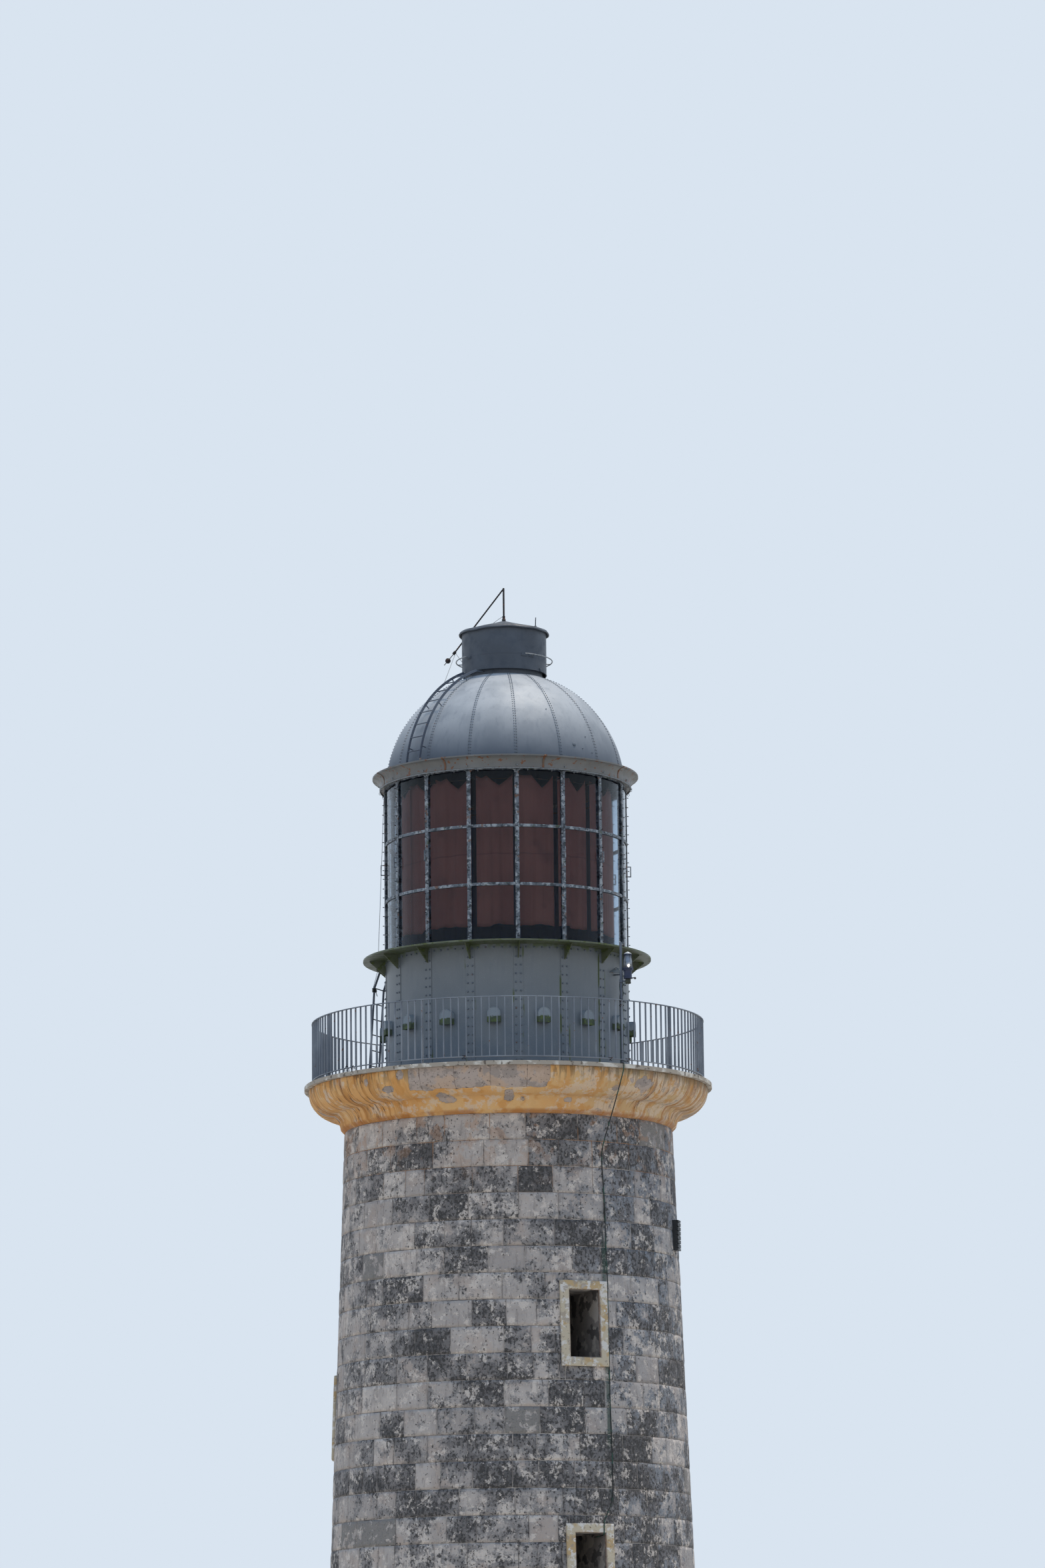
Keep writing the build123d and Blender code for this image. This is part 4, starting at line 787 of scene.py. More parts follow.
# Rivet heads are painted darker than the plates they sit on: painted shade, the shadows round each small
# head. The same dark paint goes on the dome's plugs and the gallery door's fittings.
RIVET_PAINT_WITH_PAINTED_SHADE = sea_paint("Rivet paint with painted shade", "555e69", "6c747d", rust=0.15)
CAP_PAINT = sea_paint("Lamp cap paint", "c3c6c6", "a9acab", algae=0.2)
BOX_METAL = sea_paint("Junction box paint", "23261f", "383d2c", algae=0.5)
PIPE_PAINT = sea_paint("Conduit paint", "5b646c", "7b838a", rust=0.2)
JOINT_PAINT = sea_paint("Rusted joint paint", "5a4535", "7d5f45", rust=0.8)
STONE = coral_stone()
materials = {
    "wall_stone": lime_mortar(),
    "cornice_plaster": ochre_plaster(),
    "deck_stone": deck_stone(),
    "surround_plaster": surround_render(),
    "door_wood": weathered_boards(),
    "plate_paint": base_plate_paint(),
    "hood_paint": hood_paint(),
    "ledge_paint": sea_paint("Ledge paint", "50563f", "6c7260", algae=0.55),
    "bar_paint": bar_paint(),
    "pane_glass": pane_glass(),
    "curtain_cloth": curtain_cloth(),
    "gutter_paint": sea_paint("Gutter paint", "656462", "7a7976", rust=0.3),
    "dome_paint": dome_paint(),
    "vent_paint": sea_paint("Vent paint", "3d444e", "4c545f", roughness=0.5),
    "galvanised": dull_zinc(),
    "mast_iron": mast_iron(),
    "rail_paint": sea_paint("Rail paint", "717780", "9da2a8", rust=0.1),
    "ladder_paint": sea_paint("Ladder paint", "4a5260", "767d86", rust=0.1),
    "lamp_paint": sea_paint("Lamp paint", "232b45", "34405c"),
    "lamp_lens": lamp_lens(),
    "cable_rubber": cable_rubber(),
    "box_paint": sea_paint("Box paint", "15171a", "26292e"),
}
for part in frame["record"]["subparts"]:
    data = frame["nodes"][part["node"]].data
    data.materials.clear()
    data.materials.append(materials[part["material_slot"]])
frame["nodes"]["curtain_rail"].data.materials[0] = materials["mast_iron"]


# Ashlar facing
BLOCK_COLUMNS = 12
BLOCK_ROWS = 9


def openings():
    """Each hole in the wall as bearing, half width, foot and top, as wide as its surround hides."""
    reach = BORDER - HIDDEN_EDGE
    half = OPENING_TALL / 2 + reach
    holes = [(at, OPENING_HALF + reach, middle - half, middle + half) for at, middle in WINDOWS]
    return holes + [(WINDOW_BEARING, DOOR_HALF + reach, 0, DOOR_TALL + reach)]


def cut_round(block, holes):
    """What is left of a block, as bearings and heights, when the holes are cut out of it."""
    least_turn, least_height = 0.6, 0.04
    left = [block]
    for bearing, half, foot, top in holes:
        turn = degrees(half / tower_radius((foot + top) / 2))
        rest = []
        for start, end, low, high in left:
            shift = (bearing - start + 180) % 360 - 180
            west, east = start + shift - turn, start + shift + turn
            if east <= start or west >= end or top <= low or foot >= high:
                rest.append((start, end, low, high))
                continue
            rest += [(start, west, low, high), (east, end, low, high)]
            west, east = max(start, west), min(end, east)
            rest += [(west, east, low, foot), (west, east, top, high)]
        left = [b for b in rest if b[1] - b[0] > least_turn and b[3] - b[2] > least_height]
    return left


def slab(start, end, low, high, columns, rows):
    """Points and faces of one facing block, with a worn face and a chipped rim."""
    u, v = np.meshgrid(np.linspace(0, 1, columns), np.linspace(0, 1, rows))
    length, tall = radians(end - start) * tower_radius((low + high) / 2), high - low
    rim = np.minimum(np.minimum(u, 1 - u) * length, np.minimum(v, 1 - v) * tall)
    wave = random.uniform(0, 50)
    seeds = np.stack([u * length + wave, v * tall, np.full_like(u, wave)], -1)
    chip_u = JOINT_WIDE / length * (1.4 + lumps(seeds, 0.09, 5))
    chip_v = JOINT_TALL / tall * (1.4 + lumps(seeds, 0.09, 6))
    bearing = start + (end - start) * (u + (0.5 - u) * 2 * chip_u)
    height = low + tall * (v + (0.5 - v) * 2 * chip_v)
    proud = 0.006 + random.uniform(-0.003, 0.004)
    face = proud + 0.0035 * rough(seeds, 0.16, 11) + 0.0015 * lumps(seeds, 0.045, 12)
    face = np.maximum(face - 0.012 * np.maximum(lumps(seeds, 0.2, 13) - 0.35, 0), 0.0015)
    face = face * (0.35 + 0.65 * smooth_step(rim, 0.0, 0.022))
    front = spot(bearing, tower_radius(height) + face, height).reshape(-1, 3)
    border = grid_border(rows, columns)
    rim_height = height.ravel()[border]
    back = spot(bearing.ravel()[border], tower_radius(rim_height) - BLOCK_BACK, rim_height)
    behind = columns * rows + np.arange(len(border))
    faces = [grid_quads(rows, columns), side_quads(border, behind), behind[::-1]]
    return np.concatenate([front, back]), faces


# Places on the wall by bearing and height, with how far each is crusted over or bare
CRUSTED = (
    (-28.5, 16.1, 0.75), (-14, 14.6, 0.55), (-52.7, 14.2, 0.5), (-30, 13.0, 0.8), (-7, 12.6, 0.85),
    (3, 11.8, 0.55), (-40, 11.8, 0.5), (-54, 11.0, 0.6), (40, 11.8, 0.5), (12.6, 13.0, 0.8),
    (46, 10.9, 0.7), (21, 16.2, 0.6), (54, 16.4, 0.55), (24, 14.5, 0.5), (23.5, 10.8, 0.5),
    (16.6, 12.3, 0.55),
)
BARE = (
    (-21, 15.8, 0.5), (-6, 15.8, 0.5), (0, 14.6, 0.45), (-4, 13.8, 0.6), (8.4, 13.4, 0.6),
    (5.7, 11.5, 0.55), (-17, 10.6, 0.5), (-44, 13.8, 0.4), (-67, 12.9, 0.4), (-39.7, 11.1, 0.4),
    (27, 14.3, 0.4), (41, 15.3, 0.4), (-4, 13.0, 0.4), (-18, 12.7, 0.5),
)
# Blocks that are smeared with cement
CEMENT = ((-14, 14.6), (-52.7, 14.2), (2.7, 11.8), (40.3, 11.8), (54, 16.4), (-36, 14.8))


def near(points, at, height, wide, tall):
    """1 at a place on the wall, falling to 0 a little way off."""
    off = (points - spot(at, tower_radius(height), height)) / (wide, wide, tall)
    return np.exp(-(off**2).sum(-1))


def crust_on(points):
    """How far points on the wall are crusted over, from 0 to about 1, more towards the right."""
    growth = 0.3 + 0.22 * rough(points, 1.4, 71)
    growth += 0.08 * np.clip(points[:, 0] / 2.6 - points[:, 1] / 5, -0.6, 1.0)
    for patches, way in ((CRUSTED, 0.55), (BARE, -0.45)):
        for at, height, amount in patches:
            growth += way * amount * near(points, at, height, 0.34, 0.24)
    return growth


def build_ashlar():
    """Facing blocks of every course, set a little proud of the mortar in the CAD walls."""
    holes = openings()
    for first, last, level in ((0, 13, "low"), (13, 27, "middle"), (27, COURSES, "high")):
        blocks = Shape()
        for course in range(first, last):
            low, high = course * COURSE, (course + 1) * COURSE
            radius = tower_radius(low)
            lengths = random.uniform(0.55, 1.4, round(2 * pi * radius / BLOCK_LENGTH))
            ends = np.cumsum(lengths) / lengths.sum() * 360
            shift = random.uniform(0, 360)
            for start, end in zip(np.concatenate([[0], ends[:-1]]), ends):
                shade = random.uniform(0, 1)
                own = random.normal(0, 0.22)
                middle = spot((start + end) / 2 + shift, radius, (low + high) / 2)
                patched = max(float(near(middle, *place, 0.33, 0.2)) for place in CEMENT)
                cement = float(patched > 0.5 or random.uniform() < 0.04)
                for part in cut_round((start + shift, end + shift, low, high), holes):
                    length, tall = radians(part[1] - part[0]) * radius, part[3] - part[2]
                    columns = max(4, round(BLOCK_COLUMNS * length / BLOCK_LENGTH))
                    rows = max(4, round(BLOCK_ROWS * tall / COURSE))
                    points, faces = slab(*part, columns, rows)
                    blocks.add(points, faces, tone=shade, lichen=crust_on(points) + own, cement=cement)
        blocks.piece(f"ashlar_{level}", "wall_stone", STONE)


# Cornice
LIP_RADIUS = 3.115
OVOLO_RADIUS = 0.39
OVOLO_CENTRE = np.array([2.725, DECK - 0.08])
CAVETTO_FOOT = (2.615, NECK + 0.065)
CAVETTO_MIDDLE = (2.648, NECK + 0.1685)
CAVETTO_TOP = (2.725, NECK + 0.25)
INNER_STEP = 2.4
PLASTER_THICK = 0.013

# Flaked places: bearing, depth under the deck, half width and half height
FLAKES = (
    (-19.7, 0.49, 0.17, 0.07), (0.0, 0.49, 0.1, 0.075), (4.8, 0.515, 0.06, 0.05),
    (42.5, 0.275, 0.17, 0.1), (19.8, 0.53, 0.07, 0.04), (-32.0, 0.14, 0.07, 0.08),
    (32.8, 0.35, 0.05, 0.035), (-37.6, 0.34, 0.1, 0.045), (-44.5, 0.19, 0.04, 0.06),
)


def cornice_outline():
    """The cornice's section as distances and heights round its whole edge, and how many show."""
    cavetto = bent_through(CAVETTO_FOOT, CAVETTO_MIDDLE, CAVETTO_TOP)
    turn = np.radians(np.linspace(-90, 0, 34))[1:, None]
    ovolo = OVOLO_CENTRE + OVOLO_RADIUS * np.hstack([np.cos(turn), np.sin(turn)])
    lower = np.linspace((TOP_RADIUS, NECK), CAVETTO_FOOT, 5)[:-1]
    lip = [(LIP_RADIUS, DECK - 0.07), (LIP_RADIUS - 0.002, DECK_BOTTOM)]
    shown = np.concatenate([lower, cavetto, ovolo, lip])
    inside = [(INNER_STEP, DECK_BOTTOM), (SHAFT_RADIUS, DECK_BOTTOM)]
    inside += [(SHAFT_RADIUS, NECK), (INNER_STEP, NECK)]
    return np.concatenate([shown, inside]), len(shown)


def peel_depth(bearing, height):
    """1 where the plaster has fallen off the cornice, 0 where it holds, at bearings and heights."""
    place = spot(bearing, 3.0, height)
    ragged, fine, finest = rough(place, 0.3, 41), rough(place, 0.07, 43), rough(place, 0.12, 44)
    foot = DECK - 0.385 + 0.05 * ragged + 0.012 * fine
    band = smooth_step(height - foot, -0.008, 0.008)
    band = band * smooth_step(bearing + 3 * ragged + 0.4 * fine, -29.5, -29.0)
    band = band * (1 - smooth_step(bearing + 1.5 * ragged + 0.3 * fine, 11.2, 11.7))
    flakes = smooth_step(ragged + 0.1 * fine, 0.56, 0.585) * (np.abs(bearing) > 55)
    for at, drop, wide, tall in FLAKES:
        across = (bearing - at) * radians(CORNICE_RADIUS)
        away = np.hypot(across / wide, (height - (DECK - drop)) / tall)
        away = away + 0.35 * ragged + 0.7 * finest + 0.3 * fine
        flakes = np.maximum(flakes, 1 - smooth_step(away, 0.92, 1.02))
    return np.maximum(band, flakes)


def build_cornice():
    """The cornice's plaster, hollowed where it has fallen off and chipped along the lip."""
    outline, shown = cornice_outline()
    bearings = np.linspace(-180, 180, 1200, endpoint=False)
    turn, radius = np.broadcast_arrays(bearings, outline[:, :1])
    height = np.broadcast_to(outline[:, 1:], radius.shape)
    peel = peel_depth(turn, height)
    peel[shown:] = 0
    place = spot(turn, radius, height)
    wear = 0.006 * rough(place, 0.25, 51) + 0.003 * lumps(place, 0.06, 52)
    wear = wear - 0.004 * peel * rough(place, 0.12, 54)
    chips = smooth_step(rough(place, 0.14, 55), 0.45, 0.6) * smooth_step(height, DECK - 0.13, DECK - 0.08)
    drop = PLASTER_THICK * peel + 0.02 * chips
    wear[shown - 1 :] = 0
    drop[shown - 1 :] = 0
    radius = radius - drop + np.minimum(wear, 0.004)
    ring = Shape()
    ring.add(spot(turn, radius, height), ring_faces(*radius.shape), peel=peel)
    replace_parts(ring.piece("cornice_ring", "cornice_plaster"), "cornice")


# Window and door surrounds
def surround_band(bearing, inner, outer, closed):
    """A rendered band between two outlines of the same number of points, with ragged edges."""
    steps = np.array([0, 0, 0.02, 0.12, 0.35, 0.65, 0.88, 0.98, 1, 1])
    rise = np.array([-0.03, 0.4, 0.9, 1, 1, 1, 1, 0.9, 0.4, -0.25])
    # The first steps of the band, its return into the opening, are marked 1 here and stored as the 'inner'
    # value: painted shade on the reveal.
    shade = np.array([1, 1, 0.7, 0, 0, 0, 0, 0, 0, 0])
    edge_in = 0.006 * (rough(np.pad(inner, ((0, 0), (0, 1))) + bearing, 0.11, 61) - 0.2)
    edge_out = 0.006 * rough(np.pad(outer, ((0, 0), (0, 1))) + bearing, 0.14, 62)
    way = (outer - inner) / np.linalg.norm(outer - inner, axis=1, keepdims=True)
    inner = inner - way * np.minimum(edge_in, 0)[:, None]
    outer = outer + way * np.minimum(edge_out, 0.002)[:, None]
    flat = inner[:, None] + (outer - inner)[:, None] * steps[None, :, None]
    x, z = flat[..., 0], flat[..., 1]
    face = np.stack([x, z, np.full_like(x, bearing)], -1)
    bump = 0.004 * rough(face, 0.12, 63) + 0.0015 * lumps(face, 0.03, 64)
    proud = SURROUND_PROUD * rise + np.where(rise > 0.8, np.minimum(bump, 0.0), 0)
    radius = tower_radius(z)
    points = spot(bearing + np.degrees(np.arcsin(x / radius)), radius + proud, z)
    rows, columns = x.shape
    tone = np.broadcast_to(shade, x.shape)
    if closed:
        return points, [f[:, ::-1] for f in ring_faces(rows, columns)], tone
    ends = [np.arange(columns), (rows - 1) * columns + np.arange(columns)[::-1]]
    return points, [grid_quads(rows, columns, wrap=True)[:, ::-1]] + ends, tone


def along_sides(corners, counts):
    runs = [np.linspace(a, b, n, endpoint=False) for a, b, n in zip(corners[:-1], corners[1:], counts)]
    return np.concatenate(runs)


def build_surrounds():
    """Bands round the windows, and one up both sides and over the head of the door."""
    step = 0.04
    bands = Shape()
    half_tall = OPENING_TALL / 2
    places = [(at, OPENING_HALF, middle - half_tall, middle + half_tall, True) for at, middle in WINDOWS]
    places.append((WINDOW_BEARING, DOOR_HALF, 0, DOOR_TALL, False))
    for bearing, half, low, high, closed in places:
        far, foot, head = half + BORDER, low - BORDER * closed, high + BORDER
        inner = np.array([(-half, low), (-half, high), (half, high), (half, low), (-half, low)])
        outer = np.array([(-far, foot), (-far, head), (far, head), (far, foot), (-far, foot)])
        if not closed:
            inner, outer = inner[:-1], outer[:-1]
        counts = [max(8, round(np.linalg.norm(b - a) / step)) for a, b in zip(outer[:-1], outer[1:])]
        inside, outside = along_sides(inner, counts), along_sides(outer, counts)
        if not closed:
            inside, outside = np.vstack([inside, inner[-1]]), np.vstack([outside, outer[-1]])
        points, faces, tone = surround_band(bearing, inside, outside, closed)
        bands.add(points, faces, inner=tone)
    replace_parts(bands.piece("window_surrounds", "surround_plaster"), "stone_surrounds")


# Dome, vent cap and their rivets
def dome_spot(bearing, angle, radius):
    """Points on the dome at bearings and angles up from its centre."""
    angle = np.radians(angle)
    return spot(bearing, radius * np.cos(angle), DOME_CENTRE + radius * np.sin(angle))


def build_dome():
    """The dome's dented plates, every other one lapped over its neighbours, and rivets by each seam."""
    plates = Shape()
    angles = np.linspace(2.43, 71.4, 56)[:, None]
    lap = np.degrees(0.024 / (DOME_RADIUS * np.cos(np.radians(angles))))
    part = np.linspace(0, 1, 18)[None, :]
    for i in range(BAYS):
        bearing = seam(i) - lap + (BAY_TURN + 2 * lap) * part
        proud = 0.0015 if i % 2 else 0.0
        place = dome_spot(bearing, angles, DOME_RADIUS)
        dent = 0.003 * rough(place, 0.55, 81) + 0.0012 * lumps(place, 0.16, 82)
        radius = DOME_RADIUS - 0.003 + proud + np.clip(dent, -0.004, 0.002)
        outer, inner = dome_spot(bearing, angles, radius), dome_spot(bearing, angles, radius - 0.0035)
        plates.add(*shell(outer, inner), inside=np.repeat([0.0, 1.0], radius.size))
    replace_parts(plates.piece("dome_skin", "dome_paint"), "dome_plates")
    rivets = []
    for i, side in product(range(BAYS), (-1, 1)):
        angle = np.arange(4.5 + 0.7 * side, 70.5, degrees(0.05 / DOME_RADIUS))
        turn = np.degrees(side * 0.015 / (DOME_RADIUS * np.cos(np.radians(angle))))
        rivets.append(dome_spot(seam(i) + turn, angle, DOME_RADIUS + 0.0015))
    rivets = np.concatenate(rivets)
    facing = rivets - (0, 0, DOME_CENTRE)
    heads("dome_rivets", rivets, facing, "dome_paint", 0.0085, 0.008, sides=6, material=RIVET_PAINT_WITH_PAINTED_SHADE)


def build_vent_cap():
    """Conical cap with a warped rolled brim, and the stub of a rod on it."""
    slope = 0.204 / 0.722
    rim_top, bead_middle, bead = DECK + 7.237, DECK + 7.209, 0.012
    outer = [(0.022, VENT_APEX)] + [(reach, VENT_APEX - reach * slope) for reach in (0.2, 0.45, 0.7)]
    brim = [(0.709 + bead * cos(t), bead_middle + bead * sin(t)) for t in np.radians(range(60, -200, -40))]
    inner = [(0.69, rim_top - bead), (0.45, VENT_APEX - 0.45 * slope - 0.01), (0.022, VENT_APEX - 0.016)]
    outline = np.array(outer + brim + inner)[::-1]
    points, faces = turned(outline, 128)
    bearing = np.linspace(0, 2 * pi, 128, endpoint=False)
    warp = 0.5 * np.sin(3 * bearing + 0.6) + 0.35 * np.sin(5 * bearing + 2.1) + 0.3 * np.sin(11 * bearing)
    edge = smooth_step(outline[:, 0], 0.45, 0.71)[:, None]
    points[..., 2] += 0.011 * warp * edge
    points[..., :2] *= (1 - 0.006 * edge * (1 + np.sin(4 * bearing + 1.1)) / 2)[..., None]
    foot = spot(65, 0.55, VENT_APEX - slope * 0.55 - 0.005)
    rod = tube([foot, foot + (0.002, 0, 0.1), foot + (0.006, 0, 0.165)], 0.008)
    socket = tube([foot + (0, 0, 0.004), foot + (0, 0, 0.03)], 0.018)
    cap = Shape([(points, faces), rod, socket])
    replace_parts(cap.piece("vent_cap_warped", "vent_paint"), "vent_cap")


# Curtains
CURTAIN_TOP = DECK + 4.655
CURTAIN_FOOT = DECK + 2.3
HOOK_HEIGHT = DECK + 4.6
LEVEL_CURTAINS = range(5, 12)
# How far a cloth stops short of its bay on the left and on the right, in bays
SHORT_CURTAINS = {14: (-0.02, 0.05), 15: (0.06, 0.06), 0: (0.04, 0.08), 1: (0.05, 0.09), 2: (0.03, -0.02)}


def hanging(level):
    """Places of a cloth's three hooks over its width, and how deep it sags in the two gaps."""
    middle = random.uniform(0.3, 0.42)
    hooks = np.array([0.02, middle, 0.98])
    sags = np.array([random.uniform(0.01, 0.05), random.uniform(0.13, 0.2)])
    if random.uniform() < 0.3:
        hooks, sags = 1 - hooks[::-1], sags[::-1]
    return hooks, sags * (0.1 if level else 1.0)


def build_curtains():
    """One cloth to a bay, hooked to the rail at three places and sagging between two of them."""
    columns, rows = 60, 32
    u, v = np.linspace(0, 1, columns)[None, :], np.linspace(0, 1, rows)[:, None]
    rings = Shape()
    for i in range(BAYS):
        level = i in LEVEL_CURTAINS
        head = CURTAIN_TOP + 0.045 * level
        hooks, sags = hanging(level)
        drop = np.zeros_like(u)
        for left, right, sag in zip(hooks[:-1], hooks[1:], sags):
            part = np.clip((u - left) / (right - left), 0, 1)
            drop += sag * (1 - np.abs(2 * part - 1)) ** 0.8
        deepest = np.argmax(sags)
        lowest = (hooks[deepest] + hooks[deepest + 1]) / 2
        phase = random.uniform(0, 2 * pi, 4)
        short, shorter = SHORT_CURTAINS.get(i, (-0.02, -0.02))
        start, span = seam(i + short), BAY_TURN * (1 - short - shorter)
        sway = 2 * pi * (u + 0.03 * np.sin(2 * v + phase[3]))
        fold = 0.7 * np.sin(1.3 * sway + phase[0]) + 0.45 * np.sin(2.6 * sway + phase[1] - 0.8 * v)
        fold = fold + 0.12 * np.sin(5.9 * sway + phase[2])
        fanned = np.exp(-(((u - lowest) / (0.06 + 0.3 * v)) ** 2)) * np.exp(-v / 0.35)
        swell = (0.005 + 0.028 * smooth_step(v, 0.0, 0.25)) * (1 - 0.85 * np.abs(2 * u - 1) ** 6)
        reach = RAIL_RADIUS + (0.017 if i % 2 else 0.034) + fold * swell - 0.012 * fanned
        bearing = start + span * (u + 0.012 * np.sin(3 * v + phase[0]) * np.sin(pi * u))
        foot = CURTAIN_FOOT + 0.018 * np.sin(pi * 2 * u + phase[3]) + 0.008 * fold
        height = (head - drop) * (1 - v) + foot * v
        front, back = spot(bearing, reach, height)[::-1], spot(bearing, reach - 0.002, height)[::-1]
        cloth = Shape()
        cloth.add(*shell(front, back), lining=np.repeat([0.0, 1.0], columns * rows))
        made = cloth.piece(f"curtain_{i + 1:02d}", "curtain_cloth")
        if i == 0:
            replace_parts(made, "curtains")
        for point in spot(start + span * hooks, RAIL_RADIUS, HOOK_HEIGHT):
            out = point * (1, 1, 0) / RAIL_RADIUS
            rings.add(*hoop(point + 0.004 * out, 0.016, 0.0025, out, UP, 12, 6))
    rings.piece("curtain_hooks", "galvanised")


# Rivets and bolts on the ironwork
GUTTER_JOINTS = 17.2 + 45 * np.arange(8)
RIVET_SIZE = (0.015, 0.014)


def all_round(radius, turns, heights, middle=0.0):
    """Points at the same turns from every seam, or from every bay's middle, above the deck."""
    groups = [spot(seam(i + middle) + turns, radius, DECK + heights) for i in range(BAYS)]
    return np.reshape(groups, (-1, 3))


def build_rivets():
    """Rivets of the base plates and their straps, pegs of the mullions, and bolts of rings and gutter."""
    radius = STRAP_RADIUS + 0.004
    turns = degrees(0.039 / radius) * np.array([[-1], [1]])
    points = all_round(radius, turns, np.arange(0.05, 1.96, 0.133))
    heads("strap_rivets", points, points * (1, 1, 0), "plate_paint", *RIVET_SIZE, material=RIVET_PAINT_WITH_PAINTED_SHADE)
    turns = np.degrees(np.linspace(-0.25, 0.25, 5) / BASE_RADIUS)[:, None]
    points = all_round(BASE_RADIUS + 0.004, turns, np.array([1.925, 0.06]), 0.5)
    heads("plate_rivets", points, points * (1, 1, 0), "plate_paint", *RIVET_SIZE, material=RIVET_PAINT_WITH_PAINTED_SHADE)
    heights = np.arange(2.1, 4.66, 0.147)
    points = all_round(1.922, np.degrees(0.02 * (-1) ** np.arange(len(heights)) / 1.917), heights)
    iron = materials["mast_iron"]
    heads("mullion_pegs", points, points * (1, 1, 0), "bar_paint", 0.007, 0.024, 0.9, 6, iron)
    turns = np.degrees(np.array([-0.26, -0.09, 0.09, 0.26]) / 1.905)
    points = np.concatenate([all_round(1.908, turns, height, 0.5) for height in (2.91, 3.821)])
    heads("ring_bolts", points, points * (1, 1, 0), "bar_paint", 0.008, 0.012, sides=6)
    points = all_round(1.99, 0.0, 4.748)
    heads("gutter_bolts", points, points * (1, 1, 0), "galvanised", 0.015, 0.02)
    bearings = np.concatenate([GUTTER_JOINTS - 0.55, GUTTER_JOINTS + 0.55])
    points, facing = spot(bearings, 2.037, DECK + 4.84), spot(bearings, 1.0, -0.6)
    heads("gutter_joint_bolts", points, facing, "gutter_paint", 0.006, 0.012, sides=6)


def build_gutter_details():
    """Cover strips over the gutter's joints, and the eyes that hang from the rod under it."""
    bend = bent_through((1.985, DECK + 4.778), (2.026, DECK + 4.8585), (2.095, DECK + 4.883))
    outline = np.concatenate([[(1.985, DECK + 4.72)], bend, [(2.095, DECK + 4.904)]])
    normal = np.stack([np.gradient(outline[:, 1]), -np.gradient(outline[:, 0])], -1)
    normal /= np.linalg.norm(normal, axis=1, keepdims=True)
    under, over = outline - 0.002 * normal, outline + 0.005 * normal
    strips = Shape()
    for joint in GUTTER_JOINTS:
        bearing = joint + np.linspace(-0.42, 0.42, 4)[None, :]
        outer, inner = (spot(bearing, line[:, :1], line[:, 1:]) for line in (over, under))
        strips.add(*shell(outer, inner))
    strips.piece("gutter_joints", "gutter_paint", JOINT_PAINT)
    eyes = Shape()
    for i in range(2 * BAYS):
        bearing = seam(i / 2 + 0.22)
        centre = spot(bearing, 1.976, DECK + 4.682)
        eyes.add(*hoop(centre, 0.017, 0.0035, outward(bearing)[0], UP, 14, 6))
    eyes.piece("gutter_eyes", "galvanised")


def build_fillets():
    """Curved gussets between each mullion and the head ring."""
    gussets = Shape()
    half_bar, reach = 0.03, 0.055
    turn = np.radians(np.linspace(0, 90, 8))
    across = np.append(half_bar + reach * (1 - np.sin(turn)), half_bar)
    height = DECK + 4.701 - np.append(reach * (1 - np.cos(turn)), 0)
    for i, side in product(range(BAYS), (-1, 1)):
        bearing = seam(i) + np.degrees(side * across / 1.91)
        front, back = spot(bearing, 1.915, height), spot(bearing, 1.9, height)
        gussets.add(*prism(front[::-side], back[::-side]))
    gussets.piece("mullion_gussets", "bar_paint", smooth=False)


# Lamp, its cable and what hangs about it
LAMP = np.array([1.8405, -2.4602, DECK])
POLE = np.array([1.7355, -2.4602, DECK])


def build_cable():
    """Lamp cable from the pole's foot over the deck's edge and down to the second window."""
    gap = 0.011
    down, end = 33.31, 29.0
    route = [
        spot(34.3, 3.011, DECK + gap),
        spot(33.8, 3.09, DECK + 0.013),
        spot(down, 3.178, DECK + 0.012),
        spot(down, 3.196, DECK + 0.004),
        spot(down, 3.197, DECK - 0.05),
        spot(down, 3.18, DECK - 0.12),
        spot(33.1, 2.9, 16.6),
        spot(32.9, tower_radius(16.0) + 0.03, 16.06),
        spot(33.0, tower_radius(15.9) + gap, 15.85),
    ]
    sways = (
        (15.5, 0.1), (15.0, 0.35), (14.5, 0.2), (14.1, 0.5), (13.6, 0.25), (13.1, 0.15),
        (12.7, 0.1), (12.2, -0.1), (11.6, 0.15), (11.1, 0.0), (10.75, -0.1),
    )
    route += [spot(down + turn, tower_radius(height) + gap, height) for height, turn in sways]
    route += [
        spot(31.2, tower_radius(10.6) + 0.045, 10.6),
        spot(end, tower_radius(10.4) + 0.062, 10.42),
        spot(end, tower_radius(10.3) + 0.062, 10.3),
        spot(end, tower_radius(10.2) + 0.055, 10.22),
        spot(end, tower_radius(10.2) - 0.03, 10.2),
        spot(end, tower_radius(10.2) - 0.24, 10.19),
    ]
    cable = Shape([tube(spline_points(route), 0.0085)])
    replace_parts(cable.piece("lamp_cable", "cable_rubber"), "beacon_cable")


